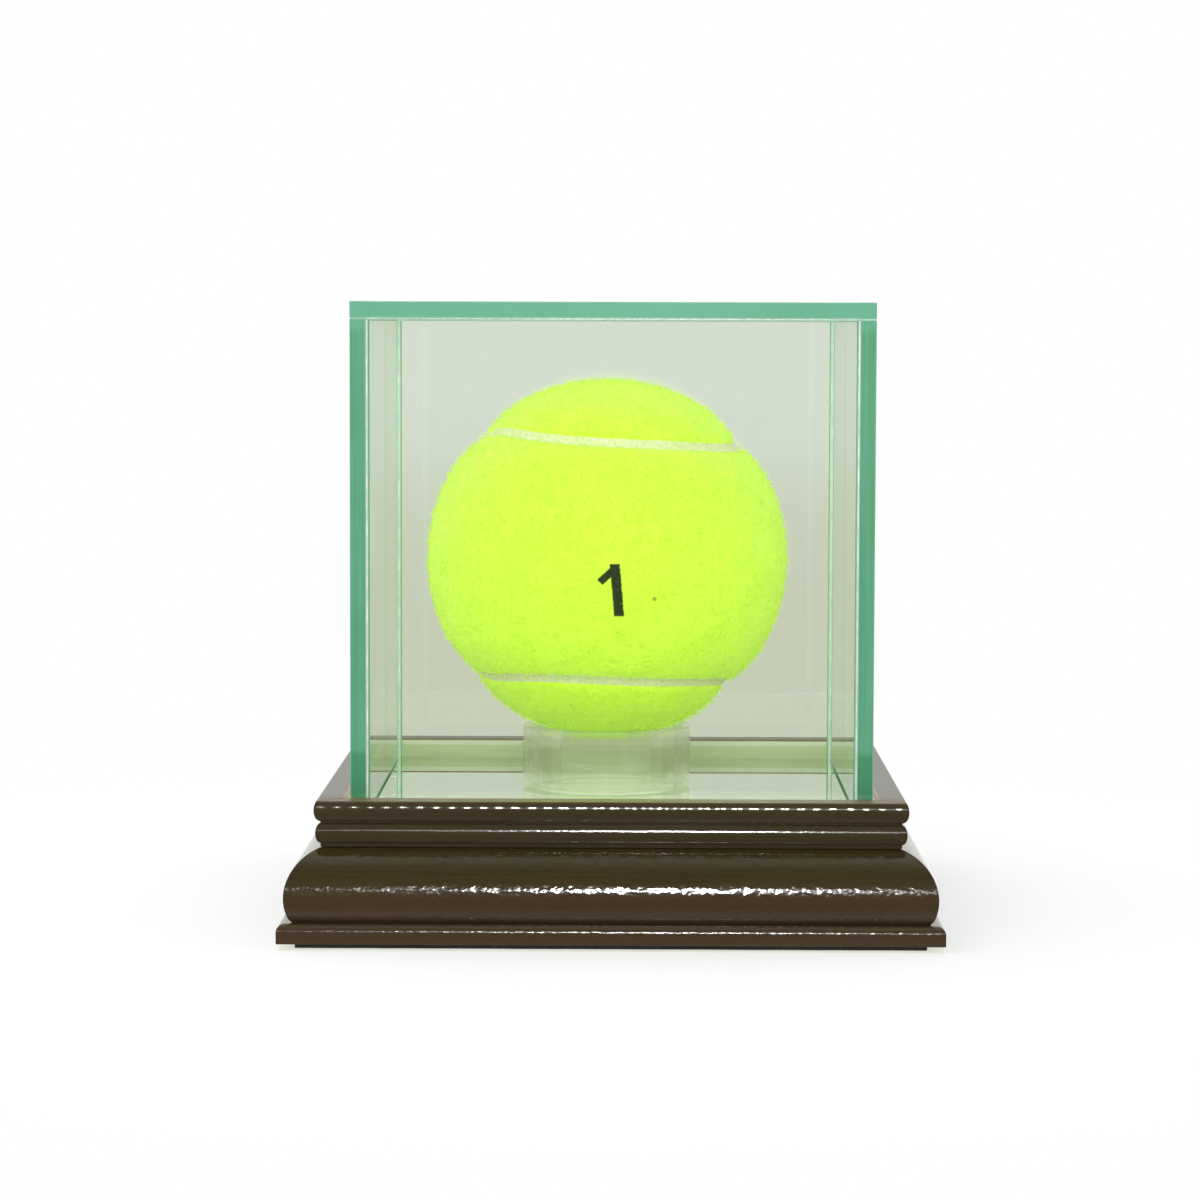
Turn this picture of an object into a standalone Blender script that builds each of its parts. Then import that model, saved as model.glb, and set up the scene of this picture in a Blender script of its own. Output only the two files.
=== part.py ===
"""Display case for one tennis ball: a bonded glass cover that lifts off a moulded wooden base.

Metres, +Z up. The origin is the middle of the felt underside, so the case stands on z = 0.
The front faces -Y and +X is to the viewer's right.
"""
import math

import bmesh
import bpy
from mathutils import Matrix, Vector

MM = 0.001

# Clearances
SEAT_GAP = 0.3 * MM            # between pieces that rest on or are held by each other
BOND_GAP = 0.3 * MM            # between two bonded panes of the cover
GLUE_GAP = 0.2 * MM            # between two mitred ends
COVER_CLEARANCE = 0.5 * MM     # between the cover and the rebate that it drops into
CUT_OVERRUN = 1.0 * MM         # how far a cutter stands out of what it cuts

# Glass cover
COVER_SIDE = 90.5 * MM         # outer width, and outer depth
COVER_RISE = 85.7 * MM         # from the ledge of the base to the top of the cover
GLASS_THICKNESS = 2.8 * MM
GLASS_ARRIS = 0.25 * MM        # chamfer that takes the sharpness off each pane's edges
BOND_THICKNESS = 0.14 * MM     # cured adhesive film
BOND_INSET = 0.3 * MM          # the film stops this far short of the panes' edges

# Wooden moulding
MOULDING_WIDTH = 11.4 * MM     # from the rebate round the cover to the foot's face
MOULDING_HEIGHT = 23.8 * MM
BEAD_ROOT = 7.1 * MM           # setback of the quirks between the beads from the foot's face
NOSE_PROJECTION = 1.1 * MM     # top bead, proud of the quirk
NOSE_HALF_HEIGHT = 1.95 * MM
NOSE_DROP = 1.6 * MM           # from the ledge to the middle of the top bead
BEAD_PROJECTION = 0.85 * MM    # second bead, proud of the quirk
BEAD_HALF_HEIGHT = 1.7 * MM
BEAD_DROP = 5.6 * MM
OVOLO_RADIUS = 8.5 * MM        # the big round
OVOLO_PROJECTION = 1.15 * MM   # setback of the big round from the foot's face
OVOLO_DROP = 16.2 * MM
OVOLO_START_DROP = 7.95 * MM
OVOLO_END_DROP = 19.8 * MM
FOOT_RADIUS = 1.35 * MM
FOOT_DROP = 20.45 * MM         # from the ledge to the top of the foot
FOOT_QUIRK = 0.6 * MM          # depth of the quirk over the foot
LEDGE_EASING = 0.3 * MM        # chamfer on the ledge's inner edge
SHELF_WIDTH = 6.0 * MM         # step that carries the deck board
LOWER_REBATE_WIDTH = 4.3 * MM  # step that the bottom panel fits into

# Deck board and mirror
DECK_THICKNESS = 3.2 * MM
MIRROR_RECESS = 3.4 * MM       # mirror face below the ledge
MIRROR_THICKNESS = 3.0 * MM
MIRROR_CLEARANCE = 0.4 * MM    # between the mirror's edge and the cover's inside
MIRROR_ARRIS = 0.3 * MM
TAPE_THICKNESS = 0.5 * MM
TAPE_WIDTH = 12.0 * MM
TAPE_LENGTH = 68.0 * MM
TAPE_SPACING = 46.0 * MM       # between the middles of the two tapes

# Underside
PANEL_THICKNESS = 3.2 * MM
FELT_THICKNESS = 0.8 * MM
FELT_INSET = 3.0 * MM          # from the foot's face
PIN_RADIUS = 0.6 * MM
PIN_HEAD_RADIUS = 1.2 * MM
PIN_HEAD_THICKNESS = 0.6 * MM
PIN_LENGTH = 9.0 * MM
PIN_POINT_LENGTH = 1.6 * MM

# Steel nails across the mitres, driven in from below
V_NAIL_LEG = 5.0 * MM
V_NAIL_THICKNESS = 0.6 * MM
V_NAIL_HEIGHT = 8.0 * MM
V_NAIL_SETBACK = 8.7 * MM      # from the foot's face to the nail's inner corner

# Ring stand
STAND_RADIUS = 15.5 * MM       # outside
STAND_WALL = 3.0 * MM
STAND_HEIGHT = 11.2 * MM
STAND_ARRIS = 0.3 * MM
STAND_SHIFT = -1.2 * MM        # the stand is set down a little to the left of the middle

# Ball
BALL_RADIUS = 33.0 * MM
BALL_FELT_THICKNESS = 3.0 * MM
BALL_FACET_ROOM = 0.1 * MM     # lets flat facets of the felt pass over the round core
CORE_WALL = 3.4 * MM
SEAM_WIDTH = 1.3 * MM
SEAM_CLEARANCE = 0.2 * MM      # between the seam strip and the felt on each side
SEAM_RECESS = 0.7 * MM         # the strip lies this far below the felt's face
BALL_ROLL = math.radians(3.1)  # clockwise, as the viewer sees the ball
BALL_TURN = math.radians(24.5)
BALL_NOD = math.radians(-0.7)

# Seam curve of the ball: waves of one, three and two turns, before they are brought to the radius
SEAM_FIRST_SHARE = 0.755
SEAM_THIRD_SHARE = 0.245
SEAM_DEPTH_SHARE = 0.56

# Numbers of facets
ARC_STEPS = 8
OVOLO_STEPS = 14
TURNED_STEPS = 48
PIN_STEPS = 12
CORE_ARC_STEPS = 8
CORE_STEPS = 28
FELT_STEPS_LONG = 36
FELT_STEPS_ACROSS = 10
SEAM_STEPS = 96
SMOOTH_ANGLE = math.radians(40)

# Heights and widths that follow from the sizes above
FELT_TOP = FELT_THICKNESS
WOOD_BOTTOM = FELT_TOP + SEAT_GAP
LEDGE_HEIGHT = WOOD_BOTTOM + MOULDING_HEIGHT
MIRROR_TOP = LEDGE_HEIGHT - MIRROR_RECESS
MIRROR_BOTTOM = MIRROR_TOP - MIRROR_THICKNESS
TAPE_BOTTOM = MIRROR_BOTTOM - SEAT_GAP - TAPE_THICKNESS
DECK_TOP = TAPE_BOTTOM - SEAT_GAP
DECK_BOTTOM = DECK_TOP - DECK_THICKNESS
SHELF_HEIGHT = DECK_BOTTOM - SEAT_GAP
PANEL_TOP = WOOD_BOTTOM + PANEL_THICKNESS
COVER_TOP = LEDGE_HEIGHT + COVER_RISE
PANE_BOTTOM = DECK_TOP + SEAT_GAP
PANE_TOP = COVER_TOP - GLASS_THICKNESS - BOND_GAP
COVER_HALF = COVER_SIDE / 2
COVER_INSIDE_HALF = COVER_HALF - GLASS_THICKNESS
REBATE_HALF = COVER_HALF + COVER_CLEARANCE
BASE_HALF = REBATE_HALF + MOULDING_WIDTH
FRAME_OPENING_HALF = REBATE_HALF - SHELF_WIDTH
LOWER_REBATE_HALF = FRAME_OPENING_HALF + LOWER_REBATE_WIDTH
STAND_TOP = MIRROR_TOP + SEAT_GAP + STAND_HEIGHT
STAND_BORE_RADIUS = STAND_RADIUS - STAND_WALL
SEAT_RADIUS = STAND_BORE_RADIUS + STAND_ARRIS
BALL_HEIGHT = STAND_TOP + math.sqrt((BALL_RADIUS + SEAT_GAP) ** 2 - SEAT_RADIUS ** 2)
CORE_RADIUS = BALL_RADIUS - BALL_FELT_THICKNESS - SEAT_GAP - BALL_FACET_ROOM

SIDES = ("front", "right", "back", "left")
CORNERS = ("front_right", "back_right", "back_left", "front_left")


def clear_scene():
    """Remove whatever the file holds, so that the case is all there is."""
    for leftover in list(bpy.data.objects):
        bpy.data.objects.remove(leftover, do_unlink=True)


def new_collection(name):
    """Make a collection under the scene's own."""
    collection = bpy.data.collections.new(name)
    bpy.context.scene.collection.children.link(collection)
    return collection


def new_material(name, color, roughness, metallic=0.0, transmission=0.0):
    """Make a Principled material."""
    material = bpy.data.materials.new(name)
    material.use_nodes = True
    shader = material.node_tree.nodes["Principled BSDF"]
    shader.inputs["Base Color"].default_value = (*color, 1.0)
    shader.inputs["Roughness"].default_value = roughness
    shader.inputs["Metallic"].default_value = metallic
    shader.inputs["Transmission Weight"].default_value = transmission
    material.diffuse_color = (*color, 1.0)
    return material


clear_scene()
CASE = new_collection("tennis_ball_display_case")
CUTTERS = new_collection("cutters")

GLASS = new_material("float_glass", (0.62, 0.86, 0.76), 0.03, transmission=0.9)
BOND = new_material("clear_adhesive", (0.85, 0.92, 0.86), 0.1, transmission=0.9)
ACRYLIC = new_material("clear_acrylic", (0.93, 0.96, 0.92), 0.04, transmission=0.95)
LACQUER = new_material("espresso_lacquered_wood", (0.045, 0.028, 0.018), 0.22)
BOARD = new_material("hardboard", (0.16, 0.09, 0.045), 0.8)
SILVER = new_material("mirror_glass", (0.82, 0.9, 0.84), 0.02, metallic=1.0)
TAPE = new_material("foam_tape", (0.75, 0.75, 0.72), 0.9)
STEEL = new_material("bright_steel", (0.6, 0.6, 0.6), 0.3, metallic=1.0)
BASE_FELT = new_material("black_felt", (0.02, 0.02, 0.022), 0.95)
YELLOW_FELT = new_material("optic_yellow_felt", (0.62, 1.0, 0.05), 0.95)
SEAM = new_material("seam_rubber", (0.86, 0.95, 0.6), 0.7)
CORE = new_material("core_rubber", (0.09, 0.085, 0.08), 0.8)


def add_object(name, mesh, material, collection=CASE):
    """Put a mesh in the scene under the name of its piece."""
    if material is not None:
        mesh.materials.clear()
        mesh.materials.append(material)
    piece = bpy.data.objects.new(name, mesh)
    collection.objects.link(piece)
    return piece


def add_empty(name, location):
    """Make an empty that carries the pieces of one moving body."""
    empty = bpy.data.objects.new(name, None)
    empty.location = location
    CASE.objects.link(empty)
    return empty


def carry(piece, parent, location):
    """Hang a piece on a body's empty, at a place given in the case's own frame."""
    piece.parent = parent
    piece.location = Vector(location) - parent.location
    return piece


def as_cutter(piece):
    """Keep a cutter out of the model."""
    piece.hide_render = True
    piece.display_type = "WIRE"
    return piece


def cut(piece, cutter):
    """Take a cutter's shape out of a piece."""
    modifier = piece.modifiers.new("cut_" + cutter.name, "BOOLEAN")
    modifier.operation = "DIFFERENCE"
    modifier.solver = "EXACT"
    modifier.object = cutter


def face_outwards(shape):
    """Turn every face of a closed body outwards."""
    bmesh.ops.recalc_face_normals(shape, faces=shape.faces)
    if shape.calc_volume(signed=True) < 0.0:
        bmesh.ops.reverse_faces(shape, faces=shape.faces)


def box_mesh(name, width, depth, height):
    """A box round its own middle."""
    shape = bmesh.new()
    bmesh.ops.create_cube(shape, size=1.0)
    bmesh.ops.scale(shape, vec=(width, depth, height), verts=shape.verts)
    mesh = bpy.data.meshes.new(name)
    shape.to_mesh(mesh)
    shape.free()
    return mesh


def add_board(name, size, middle, material, parent, arris=0.0):
    """A flat board, pane or strip, with its edges chamfered where it has an arris."""
    board = add_object(name, box_mesh(name, *size), material)
    carry(board, parent, middle)
    if arris > 0.0:
        chamfer = board.modifiers.new("arris", "BEVEL")
        chamfer.width = arris
        chamfer.segments = 1
    return board


def outline_mesh(name, loops, length):
    """Extrude flat closed outlines, each a list of (x, y), along Z, evenly about z = 0."""
    curve = bpy.data.curves.new(name, "CURVE")
    curve.dimensions = "2D"
    curve.fill_mode = "BOTH"
    curve.extrude = length / 2
    for loop in loops:
        spline = curve.splines.new("POLY")
        spline.points.add(len(loop) - 1)
        for point, (x, y) in zip(spline.points, loop):
            point.co = (x, y, 0.0, 1.0)
        spline.use_cyclic_u = True
    drawing = bpy.data.objects.new(name, curve)
    CASE.objects.link(drawing)
    bpy.context.view_layer.update()
    mesh = bpy.data.meshes.new_from_object(drawing.evaluated_get(bpy.context.evaluated_depsgraph_get()))
    bpy.data.objects.remove(drawing, do_unlink=True)
    bpy.data.curves.remove(curve)
    mesh.name = name
    shape = bmesh.new()
    shape.from_mesh(mesh)
    bmesh.ops.remove_doubles(shape, verts=shape.verts, dist=0.01 * SEAT_GAP)
    face_outwards(shape)
    shape.to_mesh(mesh)
    shape.free()
    return mesh


def turned_piece(name, profile, steps, material, collection=CASE, closed=True):
    """Turn a profile of (radius, height) round Z; it runs down the outside and up the inside."""
    shape = bmesh.new()
    ring = [shape.verts.new((radius, 0.0, height)) for radius, height in profile]
    for first, second in zip(ring, ring[1:]):
        shape.edges.new((first, second))
    if closed:
        shape.edges.new((ring[-1], ring[0]))
    mesh = bpy.data.meshes.new(name)
    shape.to_mesh(mesh)
    shape.free()
    piece = add_object(name, mesh, material, collection)
    screw = piece.modifiers.new("turn", "SCREW")
    screw.axis = "Z"
    screw.angle = 2 * math.pi
    screw.steps = steps
    screw.render_steps = steps
    screw.use_merge_vertices = True
    screw.merge_threshold = 0.01 * SEAT_GAP
    screw.use_smooth_shade = True
    return piece


def arc(middle, radii, start, end, steps):
    """Points along an ellipse's arc; angles run anticlockwise from +x."""
    points = []
    for step in range(steps + 1):
        angle = start + (end - start) * step / steps
        points.append((middle[0] + radii[0] * math.cos(angle), middle[1] + radii[1] * math.sin(angle)))
    return points


def moulding_profile():
    """The moulding's section: x outwards from the middle of the case, y upwards from the floor."""
    quirk = BASE_HALF - BEAD_ROOT
    rebate_easing = (REBATE_HALF, LEDGE_HEIGHT - LEDGE_EASING)
    ledge_inner = (REBATE_HALF + LEDGE_EASING, LEDGE_HEIGHT)
    nose_start = math.asin(NOSE_DROP / NOSE_HALF_HEIGHT)
    nose = arc((quirk, LEDGE_HEIGHT - NOSE_DROP), (NOSE_PROJECTION, NOSE_HALF_HEIGHT),
               nose_start, -math.pi / 2, ARC_STEPS)
    bead = arc((quirk, LEDGE_HEIGHT - BEAD_DROP), (BEAD_PROJECTION, BEAD_HALF_HEIGHT),
               math.pi / 2, -math.pi / 2, ARC_STEPS)
    ovolo_face = BASE_HALF - OVOLO_PROJECTION
    ovolo = arc((ovolo_face - OVOLO_RADIUS, LEDGE_HEIGHT - OVOLO_DROP), (OVOLO_RADIUS, OVOLO_RADIUS),
                math.asin((OVOLO_DROP - OVOLO_START_DROP) / OVOLO_RADIUS),
                -math.asin((OVOLO_END_DROP - OVOLO_DROP) / OVOLO_RADIUS), OVOLO_STEPS)
    foot_quirk = (ovolo[-1][0] - FOOT_QUIRK, LEDGE_HEIGHT - FOOT_DROP)
    foot = arc((BASE_HALF - FOOT_RADIUS, LEDGE_HEIGHT - FOOT_DROP - FOOT_RADIUS), (FOOT_RADIUS, FOOT_RADIUS),
               math.pi / 2, 0.0, ARC_STEPS)
    fillet = (quirk, LEDGE_HEIGHT - OVOLO_START_DROP)
    underside = [(BASE_HALF, WOOD_BOTTOM), (LOWER_REBATE_HALF, WOOD_BOTTOM)]
    lower_rebate = [(LOWER_REBATE_HALF, PANEL_TOP + SEAT_GAP), (FRAME_OPENING_HALF, PANEL_TOP + SEAT_GAP)]
    shelf = [(FRAME_OPENING_HALF, SHELF_HEIGHT), (REBATE_HALF, SHELF_HEIGHT)]
    return ([rebate_easing, ledge_inner] + nose + bead + [fillet] + ovolo + [foot_quirk] + foot
            + underside + lower_rebate + shelf)


def moulding_mesh():
    """One length of moulding for the front, mitred at both ends."""
    mesh = outline_mesh("moulding", [moulding_profile()], 2 * (BASE_HALF + CUT_OVERRUN))
    shape = bmesh.new()
    shape.from_mesh(mesh)
    stand_up = Matrix(((0.0, 0.0, -1.0), (-1.0, 0.0, 0.0), (0.0, 1.0, 0.0)))
    bmesh.ops.transform(shape, matrix=stand_up.to_4x4(), verts=shape.verts)
    for side in (-1.0, 1.0):
        outwards = Vector((side, 1.0, 0.0)).normalized()
        bmesh.ops.bisect_plane(shape, geom=shape.verts[:] + shape.edges[:] + shape.faces[:],
                               plane_co=-outwards * GLUE_GAP / 2, plane_no=outwards, clear_outer=True)
        rim = [edge for edge in shape.edges if edge.is_boundary]
        bmesh.ops.holes_fill(shape, edges=rim, sides=len(rim))
    face_outwards(shape)
    shape.to_mesh(mesh)
    shape.free()
    mesh.shade_smooth()
    mesh.set_sharp_from_angle(angle=SMOOTH_ANGLE)
    return mesh


def angle_outline(clearance):
    """An L of sheet steel, seen from above; its inner corner is at (0, 0) before the clearance."""
    near = -clearance
    thick = V_NAIL_THICKNESS + clearance
    far = V_NAIL_LEG + clearance
    return [(near, -near), (far, -near), (far, -thick), (thick, -thick), (thick, -far), (near, -far)]


def pin_profile(clearance, overrun):
    """A panel pin standing on its head, as (radius, height), down the outside."""
    top = PIN_LENGTH + clearance
    shoulder = PIN_HEAD_THICKNESS + clearance
    return [(0.0, top), (PIN_RADIUS + clearance, top - PIN_POINT_LENGTH),
            (PIN_RADIUS + clearance, shoulder), (PIN_HEAD_RADIUS + clearance, shoulder),
            (PIN_HEAD_RADIUS + clearance, -overrun), (0.0, -overrun)]


def make_base_frame(base):
    """Four mitred mouldings, the steel nails across their mitres and the pins for the bottom panel."""
    mesh = moulding_mesh()
    mouldings = []
    for step, side in enumerate(SIDES):
        moulding = add_object("moulding_" + side, mesh, LACQUER)
        carry(moulding, base, (0.0, 0.0, 0.0))
        moulding.rotation_euler.z = step * math.pi / 2
        mouldings.append(moulding)

    nail_reach = BASE_HALF - V_NAIL_SETBACK
    nail_middle = WOOD_BOTTOM + SEAT_GAP + V_NAIL_HEIGHT / 2
    slot_height = V_NAIL_HEIGHT + 2 * SEAT_GAP + CUT_OVERRUN
    nail_mesh = outline_mesh("v_nail", [angle_outline(0.0)], V_NAIL_HEIGHT)
    slot_mesh = outline_mesh("v_nail_slot", [angle_outline(SEAT_GAP)], slot_height)
    for step, corner in enumerate(CORNERS):
        turn = Matrix.Rotation(step * math.pi / 2, 4, "Z")
        place = turn @ Vector((nail_reach, -nail_reach, nail_middle))
        nail = add_object("v_nail_" + corner, nail_mesh, STEEL)
        carry(nail, base, place)
        nail.rotation_euler.z = step * math.pi / 2
        slot = as_cutter(add_object("slot_" + corner, slot_mesh, None, CUTTERS))
        slot.location = place - Vector((0.0, 0.0, CUT_OVERRUN / 2))
        slot.rotation_euler.z = step * math.pi / 2
        cut(mouldings[step], slot)
        cut(mouldings[(step + 1) % len(SIDES)], slot)
    return mouldings


def make_underside(base, mouldings):
    """The bottom panel in the lower rebate, its pins, and the felt that the case stands on."""
    panel_side = 2 * (LOWER_REBATE_HALF - SEAT_GAP)
    panel_middle = (0.0, 0.0, WOOD_BOTTOM + PANEL_THICKNESS / 2)
    panel = add_board("bottom_panel", (panel_side, panel_side, PANEL_THICKNESS), panel_middle, BOARD, base)
    pin_reach = (FRAME_OPENING_HALF + LOWER_REBATE_HALF - SEAT_GAP) / 2
    for step, side in enumerate(SIDES):
        place = Matrix.Rotation(step * math.pi / 2, 4, "Z") @ Vector((0.0, -pin_reach, WOOD_BOTTOM))
        pin = turned_piece("panel_pin_" + side, pin_profile(0.0, 0.0), PIN_STEPS, STEEL, closed=False)
        carry(pin, base, place)
        hole = turned_piece("pin_hole_" + side, pin_profile(SEAT_GAP, CUT_OVERRUN), PIN_STEPS, None,
                            CUTTERS, closed=False)
        as_cutter(hole).location = place
        cut(panel, hole)
        cut(mouldings[step], hole)
    felt_side = 2 * (BASE_HALF - FELT_INSET)
    add_board("base_felt", (felt_side, felt_side, FELT_THICKNESS), (0.0, 0.0, FELT_THICKNESS / 2),
              BASE_FELT, base)


def make_deck(base):
    """The board on the shelf, and the mirror held down on it by two foam tapes."""
    deck_side = 2 * (REBATE_HALF - SEAT_GAP)
    add_board("deck_board", (deck_side, deck_side, DECK_THICKNESS),
              (0.0, 0.0, DECK_BOTTOM + DECK_THICKNESS / 2), BOARD, base)
    for name, side in (("mirror_tape_left", -1.0), ("mirror_tape_right", 1.0)):
        add_board(name, (TAPE_WIDTH, TAPE_LENGTH, TAPE_THICKNESS),
                  (side * TAPE_SPACING / 2, 0.0, TAPE_BOTTOM + TAPE_THICKNESS / 2), TAPE, base)
    mirror_side = 2 * (COVER_INSIDE_HALF - MIRROR_CLEARANCE)
    add_board("mirror", (mirror_side, mirror_side, MIRROR_THICKNESS),
              (0.0, 0.0, MIRROR_BOTTOM + MIRROR_THICKNESS / 2), SILVER, base, MIRROR_ARRIS)


def make_cover(cover):
    """Five panes of float glass and the adhesive between them."""
    pane_height = PANE_TOP - PANE_BOTTOM
    pane_middle = (PANE_TOP + PANE_BOTTOM) / 2
    pane_reach = COVER_HALF - GLASS_THICKNESS / 2
    short_width = 2 * (COVER_INSIDE_HALF - BOND_GAP)
    add_board("cover_top_pane", (COVER_SIDE, COVER_SIDE, GLASS_THICKNESS),
              (0.0, 0.0, COVER_TOP - GLASS_THICKNESS / 2), GLASS, cover, GLASS_ARRIS)
    for name, side in (("cover_left_pane", -1.0), ("cover_right_pane", 1.0)):
        add_board(name, (GLASS_THICKNESS, COVER_SIDE, pane_height), (side * pane_reach, 0.0, pane_middle),
                  GLASS, cover, GLASS_ARRIS)
    for name, side in (("cover_front_pane", -1.0), ("cover_back_pane", 1.0)):
        add_board(name, (short_width, GLASS_THICKNESS, pane_height), (0.0, side * pane_reach, pane_middle),
                  GLASS, cover, GLASS_ARRIS)

    film_width = GLASS_THICKNESS - 2 * BOND_INSET
    film_reach = COVER_INSIDE_HALF - BOND_GAP / 2
    film_height = pane_height - 2 * BOND_INSET
    for name, across, along in (("cover_bond_front_left", -1.0, -1.0), ("cover_bond_front_right", 1.0, -1.0),
                                ("cover_bond_back_left", -1.0, 1.0), ("cover_bond_back_right", 1.0, 1.0)):
        add_board(name, (BOND_THICKNESS, film_width, film_height),
                  (across * film_reach, along * pane_reach, pane_middle), BOND, cover)
    loops = []
    for half in (COVER_HALF - BOND_INSET, COVER_INSIDE_HALF + BOND_INSET):
        loops.append([(-half, -half), (half, -half), (half, half), (-half, half)])
    top_film = add_object("cover_bond_top", outline_mesh("cover_bond_top", loops, BOND_THICKNESS), BOND)
    carry(top_film, cover, (0.0, 0.0, PANE_TOP + BOND_GAP / 2))


def make_stand(stand):
    """A short length of clear tube with eased edges, which the ball rests on."""
    half = STAND_HEIGHT / 2
    inner = STAND_BORE_RADIUS
    outer = STAND_RADIUS
    ease = STAND_ARRIS
    profile = [(inner + ease, half), (outer - ease, half), (outer, half - ease), (outer, ease - half),
               (outer - ease, -half), (inner + ease, -half), (inner, ease - half), (inner, half - ease)]
    ring = turned_piece("ring_stand", profile, TURNED_STEPS, ACRYLIC)
    carry(ring, stand, (STAND_SHIFT, 0.0, MIRROR_TOP + SEAT_GAP + half))


def seam_point(turn):
    """A point of the seam on a unit ball: x along the front panel, y up across it, z to the viewer."""
    along = SEAM_FIRST_SHARE * math.sin(turn) + SEAM_THIRD_SHARE * math.sin(3 * turn)
    across = SEAM_FIRST_SHARE * math.cos(turn) - SEAM_THIRD_SHARE * math.cos(3 * turn)
    return Vector((along, across, SEAM_DEPTH_SHARE * math.cos(2 * turn))).normalized()


def seam_frame(turn):
    """The seam's point, and the direction across the seam towards the front panel."""
    nudge = math.pi / (8 * SEAM_STEPS)
    point = seam_point(turn)
    forward = seam_point(turn + nudge) - seam_point(turn - nudge)
    return point, forward.cross(point).normalized()


def make_felt_mesh():
    """The front felt: a grid laid over the ball inside the seam, thickened towards the middle."""
    edge_angle = (SEAM_WIDTH / 2 + SEAM_CLEARANCE) / BALL_RADIUS
    shape = bmesh.new()
    bmesh.ops.create_grid(shape, x_segments=FELT_STEPS_LONG, y_segments=FELT_STEPS_ACROSS, size=1.0)
    for vertex in shape.verts:
        point, inwards = seam_frame(vertex.co.x * math.pi / 2)
        edge = (point * math.cos(edge_angle) + inwards * math.sin(edge_angle)).normalized()
        longitude = math.atan2(edge.x, edge.z)
        latitude = math.asin(max(edge.y, 0.0)) * vertex.co.y
        vertex.co = BALL_RADIUS * Vector((math.sin(longitude) * math.cos(latitude), math.sin(latitude),
                                          math.cos(longitude) * math.cos(latitude)))
    bmesh.ops.remove_doubles(shape, verts=shape.verts, dist=SEAM_CLEARANCE)
    back = bmesh.ops.extrude_face_region(shape, geom=shape.faces[:], use_keep_orig=True)["geom"]
    back_vertices = [item for item in back if isinstance(item, bmesh.types.BMVert)]
    inner_share = (BALL_RADIUS - BALL_FELT_THICKNESS) / BALL_RADIUS
    bmesh.ops.scale(shape, vec=(inner_share, inner_share, inner_share), verts=back_vertices)
    face_outwards(shape)
    mesh = bpy.data.meshes.new("ball_felt")
    shape.to_mesh(mesh)
    shape.free()
    mesh.shade_smooth()
    mesh.set_sharp_from_angle(angle=SMOOTH_ANGLE)
    return mesh


def make_seam_mesh():
    """The seam strip: a ring with a square section, laid along the seam."""
    low = CORE_RADIUS + SEAT_GAP
    high = BALL_RADIUS - SEAM_RECESS
    shape = bmesh.new()
    bpy.ops.mesh.primitive_torus_add(major_radius=BALL_RADIUS, minor_radius=SEAM_WIDTH,
                                     major_segments=SEAM_STEPS, minor_segments=4)
    torus = bpy.context.object
    shape.from_mesh(torus.data)
    bpy.data.objects.remove(torus, do_unlink=True)
    for vertex in shape.verts:
        turn = math.atan2(vertex.co.y, vertex.co.x)
        out = math.hypot(vertex.co.x, vertex.co.y) - BALL_RADIUS
        up = vertex.co.z
        point, across = seam_frame(turn)
        radius = high if out - up > 0.0 else low
        side = 1.0 if out + up > 0.0 else -1.0
        vertex.co = radius * (point + across * side * (SEAM_WIDTH / 2) / BALL_RADIUS)
    face_outwards(shape)
    mesh = bpy.data.meshes.new("ball_seam")
    shape.to_mesh(mesh)
    shape.free()
    return mesh


def make_ball(ball):
    """Two rubber half shells, two dumb-bell felts and the seam between them."""
    rim = SEAT_GAP / 2
    inner_radius = CORE_RADIUS - CORE_WALL
    outer = arc((0.0, 0.0), (CORE_RADIUS, CORE_RADIUS), math.pi / 2, math.asin(rim / CORE_RADIUS), CORE_ARC_STEPS)
    inner = arc((0.0, 0.0), (inner_radius, inner_radius), math.asin(rim / inner_radius), math.pi / 2,
                CORE_ARC_STEPS)
    for name, flip in (("ball_core_upper", 0.0), ("ball_core_lower", math.pi)):
        shell = turned_piece(name, outer + inner, CORE_STEPS, CORE, closed=False)
        shell.parent = ball
        shell.rotation_euler.x = flip

    felt_mesh = make_felt_mesh()
    face_viewer = Matrix.Rotation(math.pi / 2, 4, "X")
    swap = Matrix.Rotation(math.pi, 4, Vector((1.0, 1.0, 0.0)))
    for name, turn in (("ball_felt_front", face_viewer), ("ball_felt_back", face_viewer @ swap)):
        felt = add_object(name, felt_mesh, YELLOW_FELT)
        felt.parent = ball
        felt.matrix_basis = turn
    seam = add_object("ball_seam", make_seam_mesh(), SEAM)
    seam.parent = ball
    seam.matrix_basis = face_viewer


base_body = add_empty("base_body", (0.0, 0.0, 0.0))
cover_body = add_empty("cover_body", (0.0, 0.0, PANE_BOTTOM))
stand_body = add_empty("stand_body", (STAND_SHIFT, 0.0, MIRROR_TOP))
ball_body = add_empty("ball_body", (STAND_SHIFT, 0.0, BALL_HEIGHT))
ball_body.rotation_euler = (BALL_NOD, BALL_ROLL, BALL_TURN)

frame_mouldings = make_base_frame(base_body)
make_underside(base_body, frame_mouldings)
make_deck(base_body)
make_cover(cover_body)
make_stand(stand_body)
make_ball(ball_body)
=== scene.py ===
# %% [markdown]
# # A display case for one tennis ball
# A bonded glass cover stands in the rebate of a dark, moulded wooden base. Inside, the ball sits on a
# short length of clear tube, on a mirror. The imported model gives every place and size: this script
# dresses it, and moves nothing.

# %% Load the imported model
import math

import bmesh
import bpy
from mathutils import Matrix, Vector, kdtree


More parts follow.
